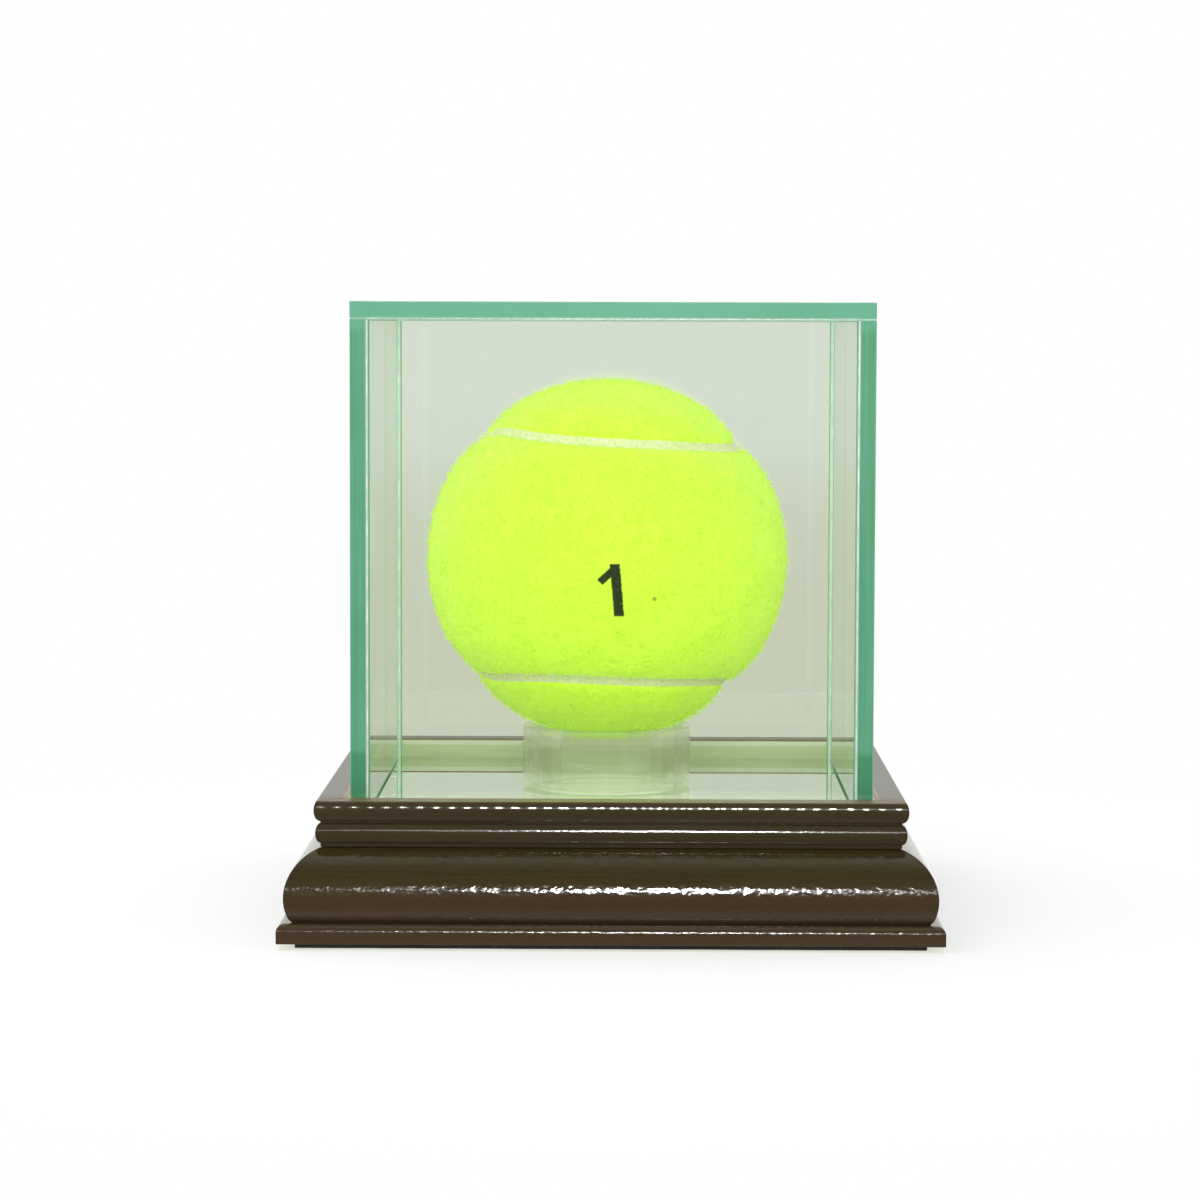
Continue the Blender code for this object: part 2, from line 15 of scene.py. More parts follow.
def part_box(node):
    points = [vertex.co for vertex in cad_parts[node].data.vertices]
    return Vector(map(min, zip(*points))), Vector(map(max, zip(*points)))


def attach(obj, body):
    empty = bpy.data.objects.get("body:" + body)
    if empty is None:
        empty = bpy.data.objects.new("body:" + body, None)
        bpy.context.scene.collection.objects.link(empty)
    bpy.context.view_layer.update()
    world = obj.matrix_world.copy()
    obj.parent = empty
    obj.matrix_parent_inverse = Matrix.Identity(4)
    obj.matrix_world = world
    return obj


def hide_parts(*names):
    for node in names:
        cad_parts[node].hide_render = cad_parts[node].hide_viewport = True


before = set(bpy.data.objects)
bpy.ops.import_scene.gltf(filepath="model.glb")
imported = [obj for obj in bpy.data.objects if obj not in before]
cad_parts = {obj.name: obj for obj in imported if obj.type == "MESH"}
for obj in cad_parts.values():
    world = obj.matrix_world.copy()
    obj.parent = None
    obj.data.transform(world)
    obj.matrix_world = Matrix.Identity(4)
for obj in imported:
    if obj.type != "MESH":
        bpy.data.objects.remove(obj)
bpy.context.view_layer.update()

MM = 0.001

# %% [markdown]
# ## Sums on sockets
# A material is a sum: a colour times a stain, plus some wear. Written as nodes and links, that sum is
# hard to read. The class below wraps one output of a node, and Python's operators on it add the Math
# nodes. Every other node comes from one method, which takes the node's type, its settings and what
# goes into its sockets. The same two classes serve materials, the world and geometry.

# %% A wire and a tree
class Wire:
    """One output of a node. Sums on it add Math nodes to its tree."""

    def __init__(self, tree, socket):
        self.tree = tree
        self.socket = socket

    def out(self, name):
        """Another output of the same node."""
        return Wire(self.tree, self.socket.node.outputs[name])

    def math(self, operation, first, second=0.0):
        return self.tree.add("ShaderNodeMath", {"operation": operation}, {0: first, 1: second})

    def __add__(self, other):
        return self.math("ADD", self, other)

    def __radd__(self, other):
        return self.math("ADD", other, self)

    def __sub__(self, other):
        return self.math("SUBTRACT", self, other)

    def __rsub__(self, other):
        return self.math("SUBTRACT", other, self)

    def __mul__(self, other):
        return self.math("MULTIPLY", self, other)

    def __rmul__(self, other):
        return self.math("MULTIPLY", other, self)

    def __truediv__(self, other):
        return self.math("DIVIDE", self, other)

    def __pow__(self, other):
        return self.math("POWER", self, other)

    def __abs__(self):
        return self.math("ABSOLUTE", self)

    def most(self, other):
        return self.math("MAXIMUM", self, other)

    def sine(self):
        return self.math("SINE", self)

    def rise(self, start, end):
        """0 at start and 1 at end, smooth between them."""
        return self.tree.add("ShaderNodeMapRange", {"interpolation_type": "SMOOTHSTEP"},
                             {"Value": self, "From Min": start, "From Max": end})


class Tree:
    """A node tree that is built by one method."""

    def __init__(self, nodes):
        self.nodes = nodes

    def add(self, kind, settings=None, inputs=None, output=0):
        """Add a node: its settings, then its sockets, each with a value, a wire or a list of wires."""
        node = self.nodes.nodes.new(kind)
        for name, value in (settings or {}).items():
            setattr(node, name, value)
        for name, value in (inputs or {}).items():
            if isinstance(value, Wire):
                value = [value]
            if isinstance(value, list):
                for wire in value:
                    self.nodes.links.new(wire.socket, node.inputs[name])
            else:
                node.inputs[name].default_value = value
        return Wire(self, node.outputs[output]) if len(node.outputs) else None

    def part(self, vector, axis):
        """One coordinate of a vector."""
        return self.add("ShaderNodeSeparateXYZ", {}, {0: vector}).out(axis)

    def mix(self, factor, first, second, kind="MIX"):
        """Mix two colours."""
        return self.add("ShaderNodeMix", {"data_type": "RGBA", "blend_type": kind},
                        {0: factor, 6: first, 7: second}, output=2)

    def mix_shader(self, factor, first, second):
        """Mix two surfaces."""
        return self.add("ShaderNodeMixShader", {}, {0: factor, 1: first, 2: second})


def seen(red, green, blue):
    """A colour as a screen shows it, from 0 to 255 each, as the linear colour that shaders take."""
    linear = []
    for value in (red, green, blue):
        share = value / 255
        linear.append(share / 12.92 if share <= 0.04045 else ((share + 0.055) / 1.055) ** 2.4)
    return (*linear, 1.0)


WHITE = (1.0, 1.0, 1.0, 1.0)
BLACK = (0.0, 0.0, 0.0, 1.0)
print("a mid grey on the screen is", [round(value, 3) for value in seen(128, 128, 128)])

# %% [markdown]
# ## The camera
# The photograph is taken from a little above, nearly square to the front, through a long lens. Its
# place was worked out from corners of the case whose real sizes are known. The roll is under a fifth
# of a degree, and it still shows along a straight edge.

# %% Camera
CAMERA_PLACE = Vector((3.7, -672.3, 106.1)) * MM
CAMERA_DIP = math.radians(4.266)
CAMERA_SWING = math.radians(0.529)
CAMERA_ROLL = math.radians(0.173)
LENS_MM = 109.37
SENSOR_MM = 36.0
NEAREST_SEEN = 10 * MM

camera_data = bpy.data.cameras.new("camera")
camera_data.lens = LENS_MM
camera_data.sensor_width = SENSOR_MM
camera_data.clip_start = NEAREST_SEEN
camera = bpy.data.objects.new("camera", camera_data)
camera.matrix_world = (Matrix.Translation(CAMERA_PLACE)
                       @ Matrix.Rotation(CAMERA_SWING, 4, "Z")
                       @ Matrix.Rotation(math.pi / 2 - CAMERA_DIP, 4, "X")
                       @ Matrix.Rotation(CAMERA_ROLL, 4, "Z"))
bpy.context.scene.collection.objects.link(camera)
bpy.context.scene.camera = camera
bpy.context.scene.view_settings.view_transform = "Standard"
print("the camera stands", round(CAMERA_PLACE.length / MM), "mm from the case")

# %% [markdown]
# ## Floor, backdrop and lamps
# The case stands on white. Lamps strong enough to burn a floor out to white would burn out the ball as
# well, so rays from the camera, and rays off glass and metal, find a floor that glows by itself, while
# the light that it throws on the case stays that of plain paper. Close to the case half of the floor
# is real paper, so that the shadow stays. Paper seen through the glass is a light grey, as it was
# behind the real case. The lacquer mirrors the room behind the camera, so that side is darker.

# %% What the room looks like
AMBIENT_LIGHT = (0.70, 0.70, 0.70, 1.0)    # from all round, on matt surfaces
WALL_BEHIND_GLASS = (0.85, 0.875, 0.775, 1.0)
MIRRORED_ROOM = (0.98, 0.97, 0.93, 1.0)    # the room's tone in gloss and mirrors
ROOM_DARK_SHARE = 0.88                     # how much darker the room is behind the camera
ROOM_TURNS_DARK = (0.2, -0.6)              # from a little behind the case, round to the front


def room_colours(tree, seen_through_glass, dark_share):
    """Whether a ray looks at the room, whether it comes off gloss, and the colour that it finds."""
    path = tree.add("ShaderNodeLightPath")
    off_gloss = path.out("Is Glossy Ray")
    looking = path.out("Is Camera Ray").most(off_gloss).most(path.out("Is Transmission Ray"))
    behind_glass = path.out("Transparent Depth").rise(0.0, 1.0)
    color = tree.mix(behind_glass, WHITE, seen_through_glass)
    mirrored = tree.mix(dark_share, tree.mix(1.0, color, MIRRORED_ROOM, "MULTIPLY"), BLACK)
    return looking, off_gloss, tree.mix(off_gloss, color, mirrored)


world = bpy.data.worlds.new("room")
world.use_nodes = True
world.node_tree.nodes.clear()
bpy.context.scene.world = world
room = Tree(world.node_tree)
direction = room.add("ShaderNodeTexCoord").out("Generated")
towards_camera = room.part(direction, "Y").rise(*ROOM_TURNS_DARK)
looking, _, wall = room_colours(room, WALL_BEHIND_GLASS, towards_camera * ROOM_DARK_SHARE)
backdrop = room.add("ShaderNodeBackground", {}, {"Color": room.mix(looking, AMBIENT_LIGHT, wall)})
room.add("ShaderNodeOutputWorld", {}, {"Surface": backdrop})
print("in gloss, the room behind the camera is darker by", ROOM_DARK_SHARE)

# %% The floor
FLOOR_RADIUS = 4.0
FLOOR_SIDES = 64
PAPER = (0.96, 0.96, 0.96, 1.0)
PAPER_SHARE = 0.55                         # how much of the floor is real paper, near the case
SHADOW_EDGES = (90, 220)                   # the paper ends between these distances, in millimetres
TABLE_BEHIND_GLASS = (0.735, 0.745, 0.61, 1.0)
TABLE_DEPTHS = (0.55, 3.0)                 # behind the case, in metres: from darkest to the wall's tone
TABLE_DARK_SHARE = 0.97                    # how much darker the table is in front of the case
TABLE_TURNS_DARK = (-0.045, -0.075)        # which begins under the base, in metres


def floor_finish():
    """White paper, real near the case and glowing further out."""
    material = bpy.data.materials.new("white_paper")
    material.use_nodes = True
    material.node_tree.nodes.clear()
    tree = Tree(material.node_tree)
    place = tree.add("ShaderNodeTexCoord").out("Object")
    depth = tree.part(place, "Y")
    table = tree.mix(depth.rise(*TABLE_DEPTHS), TABLE_BEHIND_GLASS, WALL_BEHIND_GLASS)
    in_front = depth.rise(*TABLE_TURNS_DARK) * TABLE_DARK_SHARE
    looking, off_gloss, paper = room_colours(tree, table, in_front)
    distance = tree.add("ShaderNodeVectorMath", {"operation": "LENGTH"}, {0: place}, output=1)
    far = distance.rise(SHADOW_EDGES[0] * MM, SHADOW_EDGES[1] * MM)
    glow_share = looking * (far * PAPER_SHARE + (1 - PAPER_SHARE))
    sheet_color = tree.mix(off_gloss * in_front, PAPER, BLACK)
    sheet = tree.add("ShaderNodeBsdfDiffuse", {}, {"Color": sheet_color})
    glow = tree.add("ShaderNodeEmission", {}, {"Color": paper})
    tree.add("ShaderNodeOutputMaterial", {}, {"Surface": tree.mix_shader(glow_share, sheet, glow)})
    return material


disc = bmesh.new()
bmesh.ops.create_circle(disc, cap_ends=True, segments=FLOOR_SIDES, radius=FLOOR_RADIUS)
floor_mesh = bpy.data.meshes.new("floor")
disc.to_mesh(floor_mesh)
disc.free()
floor_mesh.materials.append(floor_finish())
floor = bpy.data.objects.new("floor", floor_mesh)
bpy.context.scene.collection.objects.link(floor)
print("the floor is", 2 * FLOOR_RADIUS, "m wide, and takes a shadow up to", SHADOW_EDGES[1], "mm away")

# %% Lamps
# A large soft box overhead and a dim one in front light what is matt, and stay out of the lacquer. Just
# over the camera, a long strip and a short bright flash are seen in gloss alone: they draw the lines
# along the beads and the big round of the moulding. No lamp shows through the ring.
LAMPS = {
    "soft_box": {"place": (-0.25, -0.05, 1.3), "size": (1.8, 1.4), "watts": 9.0, "mirrored": False},
    "strip": {"place": (0.045, -0.72, 0.172), "size": (0.33, 0.06), "watts": 0.36, "mirrored": True},
    "flash": {"place": (0.016, -0.71, 0.176), "size": (0.075, 0.068), "watts": 1.7, "mirrored": True},
    "front_fill": {"place": (-0.03, -0.8, 0.1), "size": (0.5, 0.2), "watts": 2.3, "mirrored": False},
}
LAMP_TARGET = Vector((0.0, 0.0, 0.03))

for name, lamp in LAMPS.items():
    light = bpy.data.lights.new(name, "AREA")
    light.shape = "ELLIPSE"
    light.size, light.size_y = lamp["size"]
    light.energy = lamp["watts"]
    holder = bpy.data.objects.new(name, light)
    holder.location = lamp["place"]
    holder.rotation_euler = (LAMP_TARGET - holder.location).to_track_quat("-Z", "Y").to_euler()
    holder.visible_camera = False
    holder.visible_glossy = lamp["mirrored"]
    holder.visible_transmission = False
    holder.visible_diffuse = not lamp["mirrored"]
    bpy.context.scene.collection.objects.link(holder)
print("lamps:", list(LAMPS))

# %% [markdown]
# ## Making pieces
# A finished piece keeps its object at the origin and its place in its mesh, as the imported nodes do. The
# helpers below put a mesh in the scene, hang it on its body, and name the node it stands for.

# %% Materials that follow the place of each point
class Finish(Tree):
    """A material whose pattern is worked out from the place of each point, in millimetres."""

    def __init__(self, name):
        self.material = bpy.data.materials.new(name)
        self.material.use_nodes = True
        self.material.node_tree.nodes.clear()
        super().__init__(self.material.node_tree)
        place = self.add("ShaderNodeTexCoord").out("Object")
        self.place = self.add("ShaderNodeVectorMath", {"operation": "SCALE"},
                              {0: place, "Scale": 1 / MM})

    def across(self):
        """How far right the point lies."""
        return self.part(self.place, "X")

    def depth(self):
        """How far back the point lies."""
        return self.part(self.place, "Y")

    def height(self):
        """How far up the point lies."""
        return self.part(self.place, "Z")

    def noise(self, grain, vector=None, stretch=(1.0, 1.0, 1.0), detail=2.0):
        """Noise from 0 to 1 with lumps of this many millimetres, stretched along each axis."""
        scale = tuple(1 / (grain * part) for part in stretch)
        spread = self.add("ShaderNodeVectorMath", {"operation": "MULTIPLY"},
                          {0: vector or self.place, 1: scale})
        return self.add("ShaderNodeTexNoise", {}, {"Vector": spread, "Scale": 1.0, "Detail": detail})

    def fibres(self, grain, stretch):
        """Two noises of short fibres, one across the other."""
        return (self.noise(grain, stretch=(1.0, stretch, 1.0), detail=4.0),
                self.noise(grain, stretch=(stretch, 1.0, 1.0), detail=4.0))

    def spots(self, density):
        """How far the nearest of scattered points is, as a share of their spacing: 1 / density mm."""
        return self.add("ShaderNodeTexVoronoi", {}, {"Vector": self.place, "Scale": density})

    def bump(self, height):
        """A normal from a height in millimetres."""
        return self.add("ShaderNodeBump", {}, {"Height": height, "Strength": 1.0, "Distance": MM})

    def principled(self, **inputs):
        """The main shader; an input's name is written with _ for each space."""
        return self.add("ShaderNodeBsdfPrincipled", {},
                        {name.replace("_", " "): value for name, value in inputs.items()})

    def clear(self, tint):
        """Light goes straight through, tinted."""
        return self.add("ShaderNodeBsdfTransparent", {}, {"Color": tint})

    def done(self, surface):
        """Close the material with this surface."""
        self.add("ShaderNodeOutputMaterial", {}, {"Surface": surface})
        return self.material

    def plain(self, **inputs):
        """Close the material with the main shader alone."""
        return self.done(self.principled(**inputs))


# %% Meshes and pieces
SMOOTH_ANGLE = math.radians(13)     # arcs turn less than this at each step, and easings turn more
SAME_POINT = 0.001 * MM             # corners closer than this are one


def add_piece(name, mesh, materials):
    """Put a new mesh in the scene, at the origin."""
    mesh.name = name
    for material in materials:
        mesh.materials.append(material)
    piece = bpy.data.objects.new(name, mesh)
    bpy.context.scene.collection.objects.link(piece)
    return piece


def settle_faces(shape):
    """Sort the faces by their corners, so that what is scattered over them always falls the same way."""
    shape.verts.index_update()
    count = len(shape.verts)

    def order(face):
        numbers = [vertex.index for vertex in face.verts]
        return min(numbers) * count + max(numbers)

    shape.faces.sort(key=order)


def shape_to_mesh(shape, name, smooth_angle=SMOOTH_ANGLE):
    """Close a bmesh off as a mesh, with its faces outwards."""
    settle_faces(shape)
    bmesh.ops.recalc_face_normals(shape, faces=shape.faces)
    if shape.calc_volume(signed=True) < 0.0:
        bmesh.ops.reverse_faces(shape, faces=shape.faces)
    mesh = bpy.data.meshes.new(name)
    shape.to_mesh(mesh)
    shape.free()
    if smooth_angle > 0.0:
        mesh.shade_smooth()
        mesh.set_sharp_from_angle(angle=smooth_angle)
    return mesh


def merged_copy(mesh):
    """A bmesh of a mesh of loose faces, with the corners that meet made one."""
    shape = bmesh.new()
    shape.from_mesh(mesh)
    bmesh.ops.remove_doubles(shape, verts=shape.verts, dist=SAME_POINT)
    return shape


def thin_axis(size):
    """The axis along which a plate is thinnest."""
    return min(range(3), key=lambda axis: size[axis])


def hang(piece, body, slot, *nodes):
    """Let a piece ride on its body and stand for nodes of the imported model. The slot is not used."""
    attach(piece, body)
    if nodes:
        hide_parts(*nodes)


def set_finish(node, material):
    """Give a node that stays in view its material."""
    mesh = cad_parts[node].data
    mesh.materials.clear()
    mesh.materials.append(material)


# %% Geometry trees
def new_geometry_tree(name, inputs):
    """A geometry tree with named inputs, each a name, a socket type and a value."""
    group = bpy.data.node_groups.new(name, "GeometryNodeTree")
    group.interface.new_socket("Geometry", in_out="INPUT", socket_type="NodeSocketGeometry")
    for label, kind, value in inputs:
        socket = group.interface.new_socket(label, in_out="INPUT", socket_type="NodeSocket" + kind)
        if value is not None:
            socket.default_value = value
    group.interface.new_socket("Geometry", in_out="OUTPUT", socket_type="NodeSocketGeometry")
    tree = Tree(group)
    return tree, tree.add("NodeGroupInput")


def close_geometry_tree(tree, given, geometry):
    """End a tree with real geometry, in the material that it is given."""
    whole = tree.add("GeometryNodeRealizeInstances", {}, {0: geometry})
    painted = tree.add("GeometryNodeSetMaterial", {},
                       {"Geometry": whole, "Material": given.out("Material")})
    tree.add("NodeGroupOutput", {}, {0: painted})
    return tree


def run_geometry_tree(piece, tree, **values):
    """Hang a tree on a piece, set its inputs by their identifiers, and keep what it makes as a mesh."""
    modifier = piece.modifiers.new(tree.nodes.name, "NODES")
    modifier.node_group = tree.nodes
    for item in tree.nodes.interface.items_tree:
        key = item.name.lower().replace(" ", "_")
        if item.in_out == "INPUT" and key in values:
            modifier[item.identifier] = values[key]
    bpy.context.view_layer.update()
    evaluated = piece.evaluated_get(bpy.context.evaluated_depsgraph_get())
    mesh = bpy.data.meshes.new_from_object(evaluated)
    piece.modifiers.clear()
    piece.data = mesh
    mesh.name = piece.name


# %% [markdown]
# ## Glass
# Float glass is nearly clear through its thickness and deep green through its edge, because the edge
# looks down the whole pane. So a pane has two finishes. Its faces mix a clear shader with a mirror, by
# the angle at which they are met, which keeps shadows and lamps right and costs no noise. Its ground
# edges carry the green, with painted streaks up and down for the inner reflections, painted shade near
# the base, where the wood stands behind them, painted light under the top pane and a faint painted
# glow. Edges that look backwards are painted pale, as if lit through. The narrow arris between face
# and edge is ground and pale, painted green before the side panes' edges and paler towards the back.

# %% Glass colours and places
GLASS_TINT = (0.972, 0.99, 0.978, 1.0)      # what one surface lets through
GLASS_SQUARE_REFLECTION = 0.043             # at a right angle, for glass in air
GLASS_INDEX = 1.52                          # of refraction
EDGE_GREEN = seen(78, 138, 104)
EDGE_GREEN_LIGHT = seen(100, 160, 130)
EDGE_GREEN_DEEP = seen(58, 122, 82)
TOP_EDGE_TEAL = seen(90, 152, 126)
REAR_EDGE = seen(204, 226, 206)             # painted light: pale, as if lit through from behind
MIRROR_EDGE = seen(140, 166, 146)
ARRIS_PALE = seen(160, 194, 170)
ARRIS_DULL = seen(112, 164, 136)
EDGE_PAINTED_GLOW = 0.16                            # painted light: a glow for the light that leaves a pane by its edge
EDGE_DARK_HEIGHT = 7.8                      # painted shade on the edges reaches this many millimetres above the ledge
EDGE_DARK_FADE = 0.9                        # above and below that height
EDGE_LIGHT_HEAD = (2.4, 1.2)                # painted light: the edge lightens between these, under the top pane
EDGE_STEP = 0.3                             # millimetres, from the front pane to the edges beside it
FACE_STEP = 0.1                             # millimetres, over which a tone changes at a pane's face
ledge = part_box("moulding_front")[1].z
pane_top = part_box("cover_front_pane")[1].z
cover_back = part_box("cover_left_pane")[1].y
inside = Vector((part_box("cover_right_pane")[0].x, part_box("cover_back_pane")[0].y, 0.0))
print("the cover is", round(2 * inside.x / MM, 1), "mm wide inside")

# %% Glass finishes
def by_angle(tree, square):
    """How much a smooth surface mirrors, from square at a right angle to all at a grazing one."""
    facing = tree.add("ShaderNodeLayerWeight", {}, {"Blend": 0.5}, output=1)
    return facing ** 5 * (1 - square) + square


def glass_face_finish():
    """The polished face of a pane, with the faint ripple of float glass."""
    finish = Finish("float_glass")
    ripple = finish.bump(finish.noise(grain=22.0, detail=1.0) * 0.012)
    smear = finish.noise(grain=9.0, stretch=(1.0, 1.0, 2.5), detail=3.0).rise(0.55, 0.8)
    mirror = finish.principled(Base_Color=WHITE, Metallic=1.0, Roughness=smear * 0.06 + 0.01,
                               Normal=ripple)
    share = by_angle(finish, GLASS_SQUARE_REFLECTION)
    return finish.done(finish.mix_shader(share, finish.clear(GLASS_TINT), mirror))


def over_the_edges(finish):
    """1 in front of the side panes' edges and 0 between them."""
    return abs(finish.across()).rise(inside.x / MM, inside.x / MM + EDGE_STEP)


def glass_edge_finish(name, green):
    """The ground edge of a pane."""
    finish = Finish(name)
    # painted reflection: pale streaks up and down, for the inner reflections
    streaks = finish.noise(grain=0.55, stretch=(1.0, 1.0, 70.0), detail=3.0)
    clouds = finish.noise(grain=16.0, detail=2.0)
    color = finish.mix(streaks.rise(0.35, 0.75) * 0.5, green, EDGE_GREEN_LIGHT)
    color = finish.mix(clouds.rise(0.45, 0.85) * 0.35, color, EDGE_GREEN_DEEP)
    # painted shade: the edge is darker low down, where the wood stands behind it
    dark_top = ledge / MM + EDGE_DARK_HEIGHT
    foot = finish.height().rise(dark_top + EDGE_DARK_FADE, dark_top - EDGE_DARK_FADE)
    color = finish.mix(foot * 0.75, color, EDGE_GREEN_DEEP)
    # painted light: the edge is lighter just under the top pane
    head = finish.height().rise(*(pane_top / MM - below for below in EDGE_LIGHT_HEAD))
    color = finish.mix(head * 0.5, color, EDGE_GREEN_LIGHT)
    # painted light: edges that look backwards are pale, as if lit through
    rear = finish.depth().rise(cover_back / MM - 2 * FACE_STEP, cover_back / MM - FACE_STEP)
    back_pane = finish.depth().rise(inside.y / MM - FACE_STEP, inside.y / MM)
    back_pane = back_pane * (1 - over_the_edges(finish))
    color = finish.mix(rear.most(back_pane) * 0.85, color, REAR_EDGE)
    # painted light: the edge glows in its own colour
    return finish.plain(Base_Color=color, Roughness=clouds * 0.05 + 0.03, IOR=GLASS_INDEX,
                        Normal=finish.bump(finish.noise(grain=5.0, detail=1.0) * 0.003),
                        Emission_Color=color, Emission_Strength=EDGE_PAINTED_GLOW)


def arris_finish():
    """The narrow ground chamfer, which scatters the light that reaches it."""
    finish = Finish("ground_arris")
    frost = finish.noise(grain=0.2, detail=3.0)
    color = finish.mix(frost, ARRIS_PALE, ARRIS_DULL)
    # painted reflection: green where the arris lies before the side panes' edges
    color = finish.mix(over_the_edges(finish) * 0.85, color, EDGE_GREEN_LIGHT)
    # painted light: paler towards the back, as if lit through
    color = finish.mix(finish.depth().rise(0.0, inside.y / MM) * 0.7, color, REAR_EDGE)
    return finish.plain(Base_Color=color, Roughness=0.5, IOR=GLASS_INDEX,
                        Normal=finish.bump(frost * 0.02))


GLASS_FACE = glass_face_finish()
GLASS_EDGE = glass_edge_finish("glass_edge", EDGE_GREEN)
GLASS_TOP_EDGE = glass_edge_finish("glass_top_edge", TOP_EDGE_TEAL)
ARRIS = arris_finish()
print("glass finishes:", [finish.name for finish in (GLASS_FACE, GLASS_EDGE, GLASS_TOP_EDGE, ARRIS)])

# %% Panes
PANE_ARRIS = 0.14 * MM
ARRIS_STEPS = 2
ARRIS_ROUNDNESS = 0.6
SQUARE_ON = 0.999                  # a normal this near to an axis is not the chamfer's
FACE_MARK, EDGE_MARK, ARRIS_MARK = 0, 1, 2


def slab_mesh(name, low, high, arris):
    """A plate with a chamfer all round; its faces, its edges and the chamfer are marked."""
    size = high - low
    shape = bmesh.new()
    bmesh.ops.create_cube(shape, size=1.0)
    for vertex in shape.verts:
        for axis in range(3):
            vertex.co[axis] = low[axis] + size[axis] * (vertex.co[axis] + 0.5)
    bmesh.ops.bevel(shape, geom=shape.edges[:], offset=arris, segments=ARRIS_STEPS,
                    profile=ARRIS_ROUNDNESS, affect="EDGES")
    for face in shape.faces:
        face.normal_update()
        main = max(range(3), key=lambda axis: abs(face.normal[axis]))
        if abs(face.normal[main]) < SQUARE_ON:
            face.material_index = ARRIS_MARK
        else:
            face.material_index = FACE_MARK if main == thin_axis(size) else EDGE_MARK
    return shape_to_mesh(shape, name, smooth_angle=0.0)


for side in ("top", "front", "back", "left", "right"):
    node = "cover_" + side + "_pane"
    low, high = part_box(node)
    edge = GLASS_TOP_EDGE if side == "top" else GLASS_EDGE
    pane = add_piece("glass_" + side, slab_mesh(node, low, high, PANE_ARRIS), [GLASS_FACE, edge, ARRIS])
    hang(pane, "cover", "glass", node)
    print("glass_" + side, "is", [round(length / MM, 2) for length in high - low], "mm")

# %% [markdown]
# ## Adhesive
# The panes are bonded with a clear film, which shows as a thin milky line between them. The green of
# the edges on both sides of it is painted on it as a painted reflection, and it has a faint painted
# glow, dimmer at the front. Each packed film is swollen here until it fills its gap.
# Some adhesive is squeezed out along the inner corners and sets as an uneven bead. A bead follows a
# line, so geometry nodes make it: a line with many points, a radius from noise, and a small circle.

# %% Adhesive finish
ADHESIVE_GREY = seen(202, 224, 208)
ADHESIVE_MILK = seen(226, 240, 230)
ADHESIVE_GLOW = seen(112, 122, 114)          # painted light: the film's glow at the front, dimmer than at the back
ADHESIVE_GLOW_STRENGTH = 0.25
ADHESIVE_CLEAR = (0.96, 0.98, 0.96, 1.0)


def adhesive_finish():
    """Cured adhesive: half clear, half milky."""
    finish = Finish("clear_adhesive")
    clouds = finish.noise(grain=0.9, stretch=(1.0, 1.0, 4.0), detail=2.0)
    color = finish.mix(clouds, ADHESIVE_GREY, ADHESIVE_MILK)
    # painted reflection: green beside the panes' edges, and under the top pane's front edge
    before_the_back = finish.depth().rise(inside.y / MM - 2 * FACE_STEP, inside.y / MM - 4 * FACE_STEP)
    beside_edges = over_the_edges(finish) * before_the_back
    color = finish.mix(beside_edges * 0.9, color, EDGE_GREEN_LIGHT)
    under_top = finish.height().rise(pane_top / MM - FACE_STEP, pane_top / MM)
    along_front = finish.depth().rise(-inside.y / MM, -inside.y / MM - EDGE_STEP)
    color = finish.mix(under_top * along_front * 0.6, color, EDGE_GREEN_LIGHT)
    # painted light: the film glows, dimmer at the front
    glow = finish.mix(finish.depth().rise(0.0, inside.y / MM), ADHESIVE_GLOW, color)
    milk = finish.principled(Base_Color=color, Roughness=0.25, IOR=1.5,
                             Emission_Color=glow, Emission_Strength=ADHESIVE_GLOW_STRENGTH)
    milky_share = (clouds.rise(0.2, 0.9) * 0.4 + 0.45).most(beside_edges)
    return finish.done(finish.mix_shader(milky_share, finish.clear(ADHESIVE_CLEAR), milk))


# %% Films
FILM_SWELL = 0.07 * MM             # on each side, up to the panes
FILM_REACH = 0.25 * MM             # and outwards, up to their edges


def film_mesh(node):
    """A packed film, swollen to fill its gap and drawn out to the edges of the panes."""
    low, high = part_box(node)
    middle = (low + high) / 2
    across = thin_axis(high - low)
    between_loops = (cover_back + inside.y) / 2
    shape = merged_copy(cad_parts[node].data)
    for vertex in shape.verts:
        if across == 2:
            half = max(abs(vertex.co.x), abs(vertex.co.y))
            spread = 1.0 + math.copysign(FILM_REACH, half - between_loops) / half
            vertex.co.x *= spread
            vertex.co.y *= spread
            vertex.co.z += math.copysign(FILM_SWELL, vertex.co.z - middle.z)
            continue
        for axis in range(3):
            growth = FILM_SWELL if axis == across else FILM_REACH
            vertex.co[axis] += math.copysign(growth, vertex.co[axis] - middle[axis])
    return shape_to_mesh(shape, node, smooth_angle=0.0)


ADHESIVE = adhesive_finish()
for place in ("top", "front_left", "front_right", "back_left", "back_right"):
    node = "cover_bond_" + place
    film = add_piece("film_" + place, film_mesh(node), [ADHESIVE])
    hang(film, "cover", "adhesive", node)
    print("film_" + place, "is", round(min(film.dimensions) / MM, 2), "mm thick")

# %% Squeezed-out beads
BEAD_RADIUS = 0.10 * MM
BEAD_STEP = 0.6 * MM
BEAD_SIDES = 8
BEAD_LUMPS = 320.0                 # the noise's scale, in lumps to a metre
BEAD_SWELL = 2.2                   # a lump is up to this many times as thick


